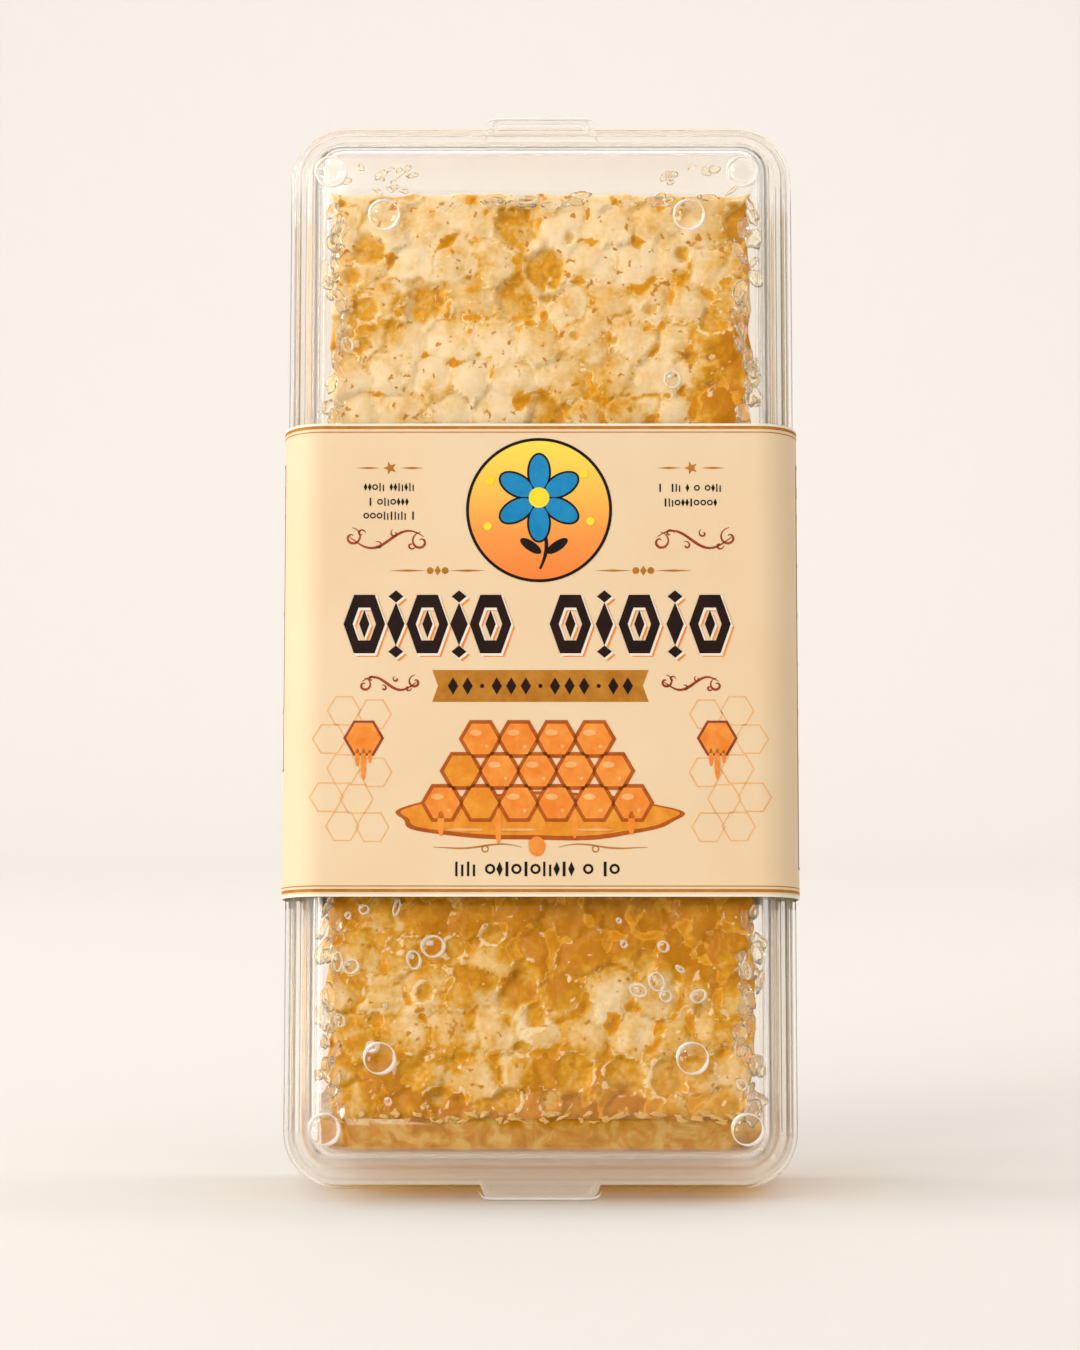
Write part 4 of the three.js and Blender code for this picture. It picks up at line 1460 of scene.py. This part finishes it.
def print_round_picture():
    disc = bmesh.new()
    add_shape(disc, 96, ROUND_X, ROUND_UP, ROUND_RADIUS, ROUND_RADIUS)
    print_ink(disc, "round_field", make_sunset_ink(), 1)
    lines = bmesh.new()
    add_ring(lines, 96, ROUND_X, ROUND_UP, ROUND_RADIUS + 0.12, 0.36)
    add_stroke(lines, lambda t: (ROUND_X + 0.9 * math.sin(3 * t), ROUND_UP - 1.2 - 6 * t), 0.45, 24, 0.6)
    blue = bmesh.new()
    heart = (ROUND_X, ROUND_UP + 1.5)
    for k in range(6):
        angle = math.radians(60 * k + 30)
        x = heart[0] + 3.1 * math.cos(angle)
        up = heart[1] + 3.1 * math.sin(angle)
        for drawing, grow_by in ((lines, 0.25), (blue, 0)):
            verts = add_shape(drawing, 32, 0, 0, 2.15 + grow_by, 1.2 + grow_by)
            turn = Matrix.Rotation(angle, 3, "Z")
            bmesh.ops.rotate(drawing, cent=(0, 0, 0), matrix=turn, verts=verts)
            bmesh.ops.translate(drawing, vec=(x, up, 0), verts=verts)
    for side in (-1, 1):
        verts = add_shape(lines, 24, 0, 0, 1.5, 0.6)
        bmesh.ops.rotate(lines, cent=(0, 0, 0), matrix=Matrix.Rotation(side * 0.6, 3, "Z"), verts=verts)
        bmesh.ops.translate(lines, vec=(ROUND_X + 0.6 + side * 1.6, ROUND_UP - 4.4, 0), verts=verts)
    print_ink(lines, "round_lines", black_ink, 2)
    print_ink(blue, "round_petals", make_ink("blue_ink", screen(16, 126, 182), screen(34, 142, 196)), 3)
    dots = bmesh.new()
    add_shape(dots, 32, heart[0], heart[1], 1.25, 1.25)
    for x, up in ((-5.9, 3.6), (5.4, 4.4), (6.2, -1.4), (-6.2, -2.0)):
        add_shape(dots, 24, ROUND_X + x, ROUND_UP + up, 0.5, 0.5)
    print_ink(dots, "round_dots", make_ink("yellow_ink", screen(250, 214, 30), screen(252, 224, 70)), 4)


print_round_picture()

# %% [markdown]
# The frieze takes the place of a title: bold dark shapes with a thin cream and orange shadow, as
# on an old label. Tall hexagon rings with a core alternate with lozenges between two small ones.

# %% The bold frieze
FRIEZE_UP = 67.5
FRIEZE_HALF = 4.1
FRIEZE_RINGS = [-21.2, -13.6, -6.0, 3.6, 11.9, 20.4]
FRIEZE_LOZENGES = [-17.4, -9.8, 7.7, 16.2]


def draw_frieze(bm, shift, swell):
    for x in FRIEZE_RINGS:
        already = set(bm.verts)
        add_ring(bm, 6, 0, 0, 2.5 + swell, 0.95 + 2 * swell, math.pi / 2)
        for vert in set(bm.verts) - already:
            vert.co = (x + shift + vert.co.x, FRIEZE_UP - shift + vert.co.y * FRIEZE_HALF / 2.5, 0)
        add_shape(bm, 4, x + shift, FRIEZE_UP - shift, 0.62 + swell, 1.7 + swell)
    for x in FRIEZE_LOZENGES:
        add_shape(bm, 4, x + shift, FRIEZE_UP - shift, 1.05 + swell, 2.6 + swell)
        for end in (-1, 1):
            add_shape(bm, 4, x + shift, FRIEZE_UP - shift + end * 3.35, 0.9 + swell, 0.75 + swell)


def print_frieze():
    for name, material, shift, swell, layer in (
        ("frieze_glow", orange_ink, 0.42, 0.0, 1),
        ("frieze_edge", paper_white, 0.18, 0.08, 2),
        ("frieze", brown_ink, 0, 0.0, 3),
    ):
        bm = bmesh.new()
        draw_frieze(bm, shift, swell)
        print_ink(bm, name, material, layer)


print_frieze()

# %% The ribbon, with notched ends and a row of small lozenges
RIBBON_UP = 60.0
RIBBON_HALF = 13.0
RIBBON_TALL = 3.85
RIBBON_NOTCH = 0.7


def print_ribbon():
    ribbon = bmesh.new()
    made = bmesh.ops.create_grid(ribbon, x_segments=1, y_segments=2, size=0.5)
    for vert in made["verts"]:
        notch = RIBBON_NOTCH * (1 - abs(vert.co.y) * 2)
        x = math.copysign(RIBBON_HALF - notch, vert.co.x)
        vert.co = (x, RIBBON_UP + vert.co.y * RIBBON_TALL, 0)
    print_ink(ribbon, "ribbon", gold_ink, 1)
    marks = bmesh.new()
    for k in range(13):
        x = (k - 6) * 1.75
        if k % 4 == 2:
            add_shape(marks, 16, x, RIBBON_UP, 0.25, 0.25)
        else:
            add_shape(marks, 4, x, RIBBON_UP, 0.62, 1.05)
    print_ink(marks, "ribbon_marks", brown_ink, 2)


print_ribbon()

# %% Lines that only hint at writing, each a row of short bars
def add_writing(bm, x, up, wide, tall, seed):
    rng = random.Random(seed)
    left = x - wide / 2
    while left < x + wide / 2 - tall * 0.3:
        kind = rng.choice(("ring", "bar", "bars", "lozenge", "space"))
        step = tall * (0.8 if kind in ("ring", "bars") else 0.5)
        middle = left + step / 2
        if kind == "ring":
            add_ring(bm, 12, middle, up, tall * 0.36, tall * 0.16)
        elif kind == "lozenge":
            add_shape(bm, 4, middle, up, tall * 0.22, tall * 0.5)
        elif kind == "bar":
            add_bar(bm, middle, up, tall * 0.2, tall)
        elif kind == "bars":
            add_bar(bm, middle - tall * 0.2, up, tall * 0.16, tall)
            add_bar(bm, middle + tall * 0.2, up - tall * 0.1, tall * 0.16, tall * 0.8)
        left += step


WRITING = [
    (-18.3, 84.2, 6.2, 1.0), (-18.3, 82.4, 5.0, 1.0), (-18.3, 80.7, 6.3, 1.0),
    (18.2, 84.1, 8.0, 1.0), (18.2, 82.3, 6.7, 1.0), (-0.75, 38.0, 21.0, 1.75),
]


def print_writing():
    bm = bmesh.new()
    for k, (x, up, wide, tall) in enumerate(WRITING):
        add_writing(bm, x, up, wide, tall, k)
    print_ink(bm, "small_writing", black_ink, 1)


print_writing()

# %% Gold dividers, stars and the drop
def add_divider(bm, x, up, half, gap):
    for side in (-1, 1):
        add_shape(bm, 4, x + side * (gap + (half - gap) / 2), up, (half - gap) / 2, 0.14)


def print_dividers():
    bm = bmesh.new()
    for side in (-1, 1):
        add_star(bm, side * 18.2, 86.54, 0.85)
        add_divider(bm, side * 18.2, 86.54, 4.1, 1.2)
        add_divider(bm, side * 12.4, 74.0, 5.8, 1.4)
        add_shape(bm, 4, side * 12.4, 74.0, 0.4, 0.6)
        for step in (-1, 1):
            add_shape(bm, 16, side * 12.4 + step * 0.9, 74.0, 0.42, 0.42)
        add_stroke(bm, lambda t: (side * (2.2 + 10.6 * t), 40.6 + 0.5 * math.sin(6 * t) * (1 - t)), 0.22)
        add_ring(bm, 16, side * 6.6, 40.4, 0.45, 0.16)
    print_ink(bm, "gold_dividers", gold_ink, 1)
    drop = bmesh.new()
    verts = add_shape(drop, 32, -0.4, 40.7, 1.0, 1.2, math.pi / 2)
    verts[0].co.y = 43.2
    print_ink(drop, "drop", orange_ink, 3)


print_dividers()

# %% Red-brown scrolls
def add_scroll(bm, x, up, half, side):
    size = half * 0.2
    add_stroke(bm, lambda t: (x + side * half * (1.7 * t - 0.85), up + size * math.sin(math.pi * (2 * t + 0.1))), 0.34)
    for end in (-1, 1):
        middle = (x + end * half * 0.78, up + end * side * size * 0.25)
        add_stroke(bm, curl(*middle, size * 1.1, 1.1, math.pi / 2, end), 0.3)
    for k in range(4):
        place = x + (k - 1.5) * half * 0.38
        add_stroke(bm, curl(place, up + (-1) ** k * size * 0.7, size * 0.5, 0.9, k, (-1) ** k), 0.24)


def print_scrolls():
    bm = bmesh.new()
    for side in (-1, 1):
        add_scroll(bm, side * 18.6, 77.8, 5.3, side)
        add_scroll(bm, side * 18.1, 60.3, 3.9, -side)
    print_ink(bm, "scrolls", red_ink, 1)


print_scrolls()

# %% [markdown]
# Below the ribbon stands a stepped heap of comb cells in a puddle of honey. Each cell is a dark
# hexagon, an orange one and a pale glint, drawn from the back row to the front.

# %% The heap of cells in its puddle
CELL_ROWS_DRAWN = [(45.9, 6), (49.75, 5), (53.6, 4)]
CELL_DRAWN_PITCH = 4.55
CELL_DRAWN_RADIUS = 2.62
PUDDLE_UP = 44.3


def add_puddle(bm, half_wide, half_tall, shift):
    verts = add_shape(bm, 72, 0, 0, half_wide, half_tall)
    for vert in verts:
        angle = math.atan2(vert.co.y / half_tall, vert.co.x / half_wide)
        vert.co *= 1 + 0.03 * math.sin(5 * angle + 1) + 0.02 * math.sin(9 * angle)
        vert.co += Vector((-0.35, PUDDLE_UP + shift, 0))


def drawn_cells():
    for up, count in CELL_ROWS_DRAWN:
        for k in range(count):
            yield -0.35 + (k - (count - 1) / 2) * CELL_DRAWN_PITCH, up, (k * 7 + count * 3) % 5


def print_heap():
    puddle = bmesh.new()
    add_puddle(puddle, 17.0, 2.9, 0)
    print_ink(puddle, "puddle_edge", deep_amber_ink, 1)
    puddle = bmesh.new()
    add_puddle(puddle, 16.4, 2.45, 0.1)
    print_ink(puddle, "puddle", amber_ink, 2)
    walls = bmesh.new()
    fills = bmesh.new()
    deep_fills = bmesh.new()
    glints = bmesh.new()
    for x, up, kind in drawn_cells():
        add_shape(walls, 6, x, up, CELL_DRAWN_RADIUS, CELL_DRAWN_RADIUS, math.pi / 6)
        fill = deep_fills if kind == 0 else fills
        add_shape(fill, 6, x, up, CELL_DRAWN_RADIUS - 0.5, CELL_DRAWN_RADIUS - 0.5, math.pi / 6)
        if kind:
            add_shape(glints, 20, x - 0.6, up + 0.75, 0.75, 0.38)
            add_shape(glints, 12, x + 0.75, up - 0.9, 0.22, 0.22)
    for x, long in ((-11.9, 1.5), (-5.0, 2.1), (4.1, 1.7), (10.9, 1.4)):
        add_shape(fills, 24, x, 44.2 - long / 2, 0.42, long)
    print_ink(walls, "heap_walls", deep_amber_ink, 3)
    print_ink(fills, "heap_cells", orange_ink, 4)
    print_ink(deep_fills, "heap_full_cells", amber_ink, 4)
    for x in (-9.0, -2.5, 6.5):
        add_shape(glints, 24, x, PUDDLE_UP - 1.6, 2.2, 0.16)
    print_ink(glints, "heap_glints", pale_orange_ink, 5)


print_heap()


# %% Hexagon badges with a drip, and faint outlines of cells round them
BADGE_UP = 53.7
FAINT_CELLS = [
    (-23.6, 57.0), (-19.9, 56.6), (-25.3, 53.6), (-23.6, 50.0), (-19.8, 49.6),
    (-25.6, 46.6), (-22.0, 46.4), (-23.7, 43.1), (-20.1, 43.0),
]


def print_badges():
    edges = bmesh.new()
    badges = bmesh.new()
    faint = bmesh.new()
    for side in (-1, 1):
        x = side * 21.2
        add_shape(edges, 6, x, BADGE_UP, 2.45, 2.45, math.pi / 6)
        add_shape(badges, 6, x, BADGE_UP, 2.1, 2.1, math.pi / 6)
        add_shape(badges, 20, x, BADGE_UP - 3.1, 0.34, 1.9)
        add_shape(badges, 20, x - 0.75, BADGE_UP - 2.3, 0.26, 1.1)
        add_shape(badges, 20, x + 0.75, BADGE_UP - 2.2, 0.24, 0.8)
        for cell_x, up in FAINT_CELLS:
            add_ring(faint, 6, -side * cell_x, up, 2.05, 0.14, math.pi / 6)
    print_ink(faint, "faint_cells", pale_orange_ink, 1)
    print_ink(edges, "badge_edges", red_ink, 2)
    print_ink(badges, "badges", orange_ink, 3)


print_badges()


# %% Panels on the two sides, each a thin black frame round small lines
PANEL_NEAR = 33.3
PANEL_FAR = 52.6
PANEL_LINE = 0.28
PANELS = [(-1, 50.3, 87.6), (1, 38.4, 87.5)]


def print_panels():
    bm = bmesh.new()
    middle = (PANEL_NEAR + PANEL_FAR) / 2
    wide = PANEL_FAR - PANEL_NEAR
    for side, low, high in PANELS:
        for up in (low, high):
            add_bar(bm, side * middle, up, wide + PANEL_LINE, PANEL_LINE)
        for along in (PANEL_NEAR, PANEL_FAR):
            add_bar(bm, side * along, (low + high) / 2, PANEL_LINE, high - low + PANEL_LINE)
        add_bar(bm, side * middle, high - 3.0, wide - 3, 1.4)
        for k in range(int((high - low - 7) / 2)):
            add_writing(bm, side * middle, high - 6 - 2 * k, wide - 3 - k % 3, 0.9, 40 + k)
    print_ink(bm, "side_panels", black_ink, 1)


print_panels()

# %% [markdown]
# ## Stage and light
#
# The photograph was taken on a pale cream sweep with large soft lights. A floor that curves up
# into a wall gives the same even ground.

# %% Floor and backdrop
FLOOR_FRONT = -1.2
FLOOR_BACK = 0.75
SWEEP_RADIUS = 0.5
WALL_TOP = 2.4
STAGE_HALF_WIDTH = 2.5


def make_stage():
    bm = bmesh.new()
    start = bm.verts.new((-STAGE_HALF_WIDTH, FLOOR_FRONT, 0))
    end = bm.verts.new((STAGE_HALF_WIDTH, FLOOR_FRONT, 0))
    edge = bm.edges.new((start, end))
    moved = bmesh.ops.extrude_edge_only(bm, edges=[edge])
    verts = [element for element in moved["geom"] if isinstance(element, bmesh.types.BMVert)]
    edges = [element for element in moved["geom"] if isinstance(element, bmesh.types.BMEdge)]
    bmesh.ops.translate(bm, vec=(0, FLOOR_BACK - FLOOR_FRONT, 0), verts=verts)
    spun = bmesh.ops.spin(
        bm,
        geom=edges,
        cent=(0, FLOOR_BACK, SWEEP_RADIUS),
        axis=(1, 0, 0),
        angle=math.pi / 2,
        steps=24,
    )
    verts = [element for element in spun["geom_last"] if isinstance(element, bmesh.types.BMVert)]
    edges = [element for element in spun["geom_last"] if isinstance(element, bmesh.types.BMEdge)]
    top = bmesh.ops.extrude_edge_only(bm, edges=edges)
    verts = [element for element in top["geom"] if isinstance(element, bmesh.types.BMVert)]
    bmesh.ops.translate(bm, vec=(0, 0, WALL_TOP - SWEEP_RADIUS), verts=verts)
    mesh = bpy.data.meshes.new("backdrop")
    bm.to_mesh(mesh)
    bm.free()
    for polygon in mesh.polygons:
        polygon.use_smooth = True
    backdrop = bpy.data.objects.new("backdrop", mesh)
    bpy.context.scene.collection.objects.link(backdrop)
    material, _, _, _ = start_material("backdrop", Base_Color=(0.748, 0.722, 0.7, 1), Roughness=0.9)
    mesh.materials.append(material)
    return backdrop


backdrop = make_stage()


# %% Soft lights
def make_area_light(name, place, target, width, height, power, colour):
    data = bpy.data.lights.new(name, "AREA")
    data.shape = "RECTANGLE"
    data.size = width
    data.size_y = height
    data.energy = power
    data.color = colour
    light = bpy.data.objects.new(name, data)
    light.location = place
    aim = Vector(target) - Vector(place)
    light.rotation_euler = aim.to_track_quat("-Z", "Y").to_euler()
    bpy.context.scene.collection.objects.link(light)
    return light


def light_scene():
    target = (0, 0, 0.065)
    warm = (1.0, 0.95, 0.89)
    make_area_light("key", (-0.7, -0.7, 0.75), target, 0.5, 0.5, 2.9, warm)
    make_area_light("glint", (-0.35, -0.8, 0.5), target, 0.12, 0.12, 0.8, warm)
    make_area_light("front_fill", (-0.5, -0.65, 0.08), target, 0.3, 0.2, 1.2, warm)
    make_area_light("left_strip", (-0.75, -0.12, 0.2), target, 0.12, 0.7, 2.4, warm)
    make_area_light("right_strip", (0.75, -0.35, 0.15), target, 0.1, 0.6, 0.6, warm)
    make_area_light("backdrop_wash", (0, 0.25, 1.3), (0, 1.25, 0.4), 1.6, 0.4, 11.2, warm)


# %% [markdown]
# The room's own light is even and warm, but clear plastic mirrors whatever stands opposite it. A
# photographer hangs a dark card round the lens, so that the flat front mirrors nothing. Here the
# world is dark in the one direction that the leaning front reflects to the camera.

# %% The room's light, with a dark card where the front plate would mirror it
ROOM_BRIGHTNESS = 0.84
ROOM_COLOUR = (1.0, 0.965, 0.93, 1)
RIGHT_COLOUR = (0.78, 0.745, 0.71, 1)
CARD_EDGE = 0.9
CARD_CORE = 0.97


def make_room():
    world = bpy.data.worlds.new("studio")
    world.use_nodes = True
    nodes = world.node_tree.nodes
    links = world.node_tree.links
    direction = nodes.new("ShaderNodeTexCoord").outputs["Generated"]
    facing = nodes.new("ShaderNodeVectorMath")
    facing.operation = "DOT_PRODUCT"
    facing.inputs[1].default_value = (0, -math.cos(2 * LEAN), math.sin(2 * LEAN))
    links.new(direction, facing.inputs[0])
    card = add_ramp(nodes, links, facing.outputs["Value"], [(CARD_EDGE, BLACK), (CARD_CORE, WHITE)])
    split = nodes.new("ShaderNodeSeparateXYZ")
    links.new(direction, split.inputs["Vector"])
    room = add_ramp(nodes, links, split.outputs["X"], [(0.0, ROOM_COLOUR), (0.8, RIGHT_COLOUR)])
    links.new(add_mix(nodes, links, card, room, BLACK), nodes["Background"].inputs["Color"])
    nodes["Background"].inputs["Strength"].default_value = ROOM_BRIGHTNESS
    bpy.context.scene.world = world


make_room()


# %% Let light cross many layers of clear plastic
def set_light_paths():
    cycles = bpy.context.scene.cycles
    cycles.max_bounces = 11
    cycles.transmission_bounces = 11
    cycles.glossy_bounces = 3
    cycles.diffuse_bounces = 1
    cycles.transparent_max_bounces = 8


set_light_paths()
light_scene()
bpy.context.scene.view_settings.view_transform = "Standard"
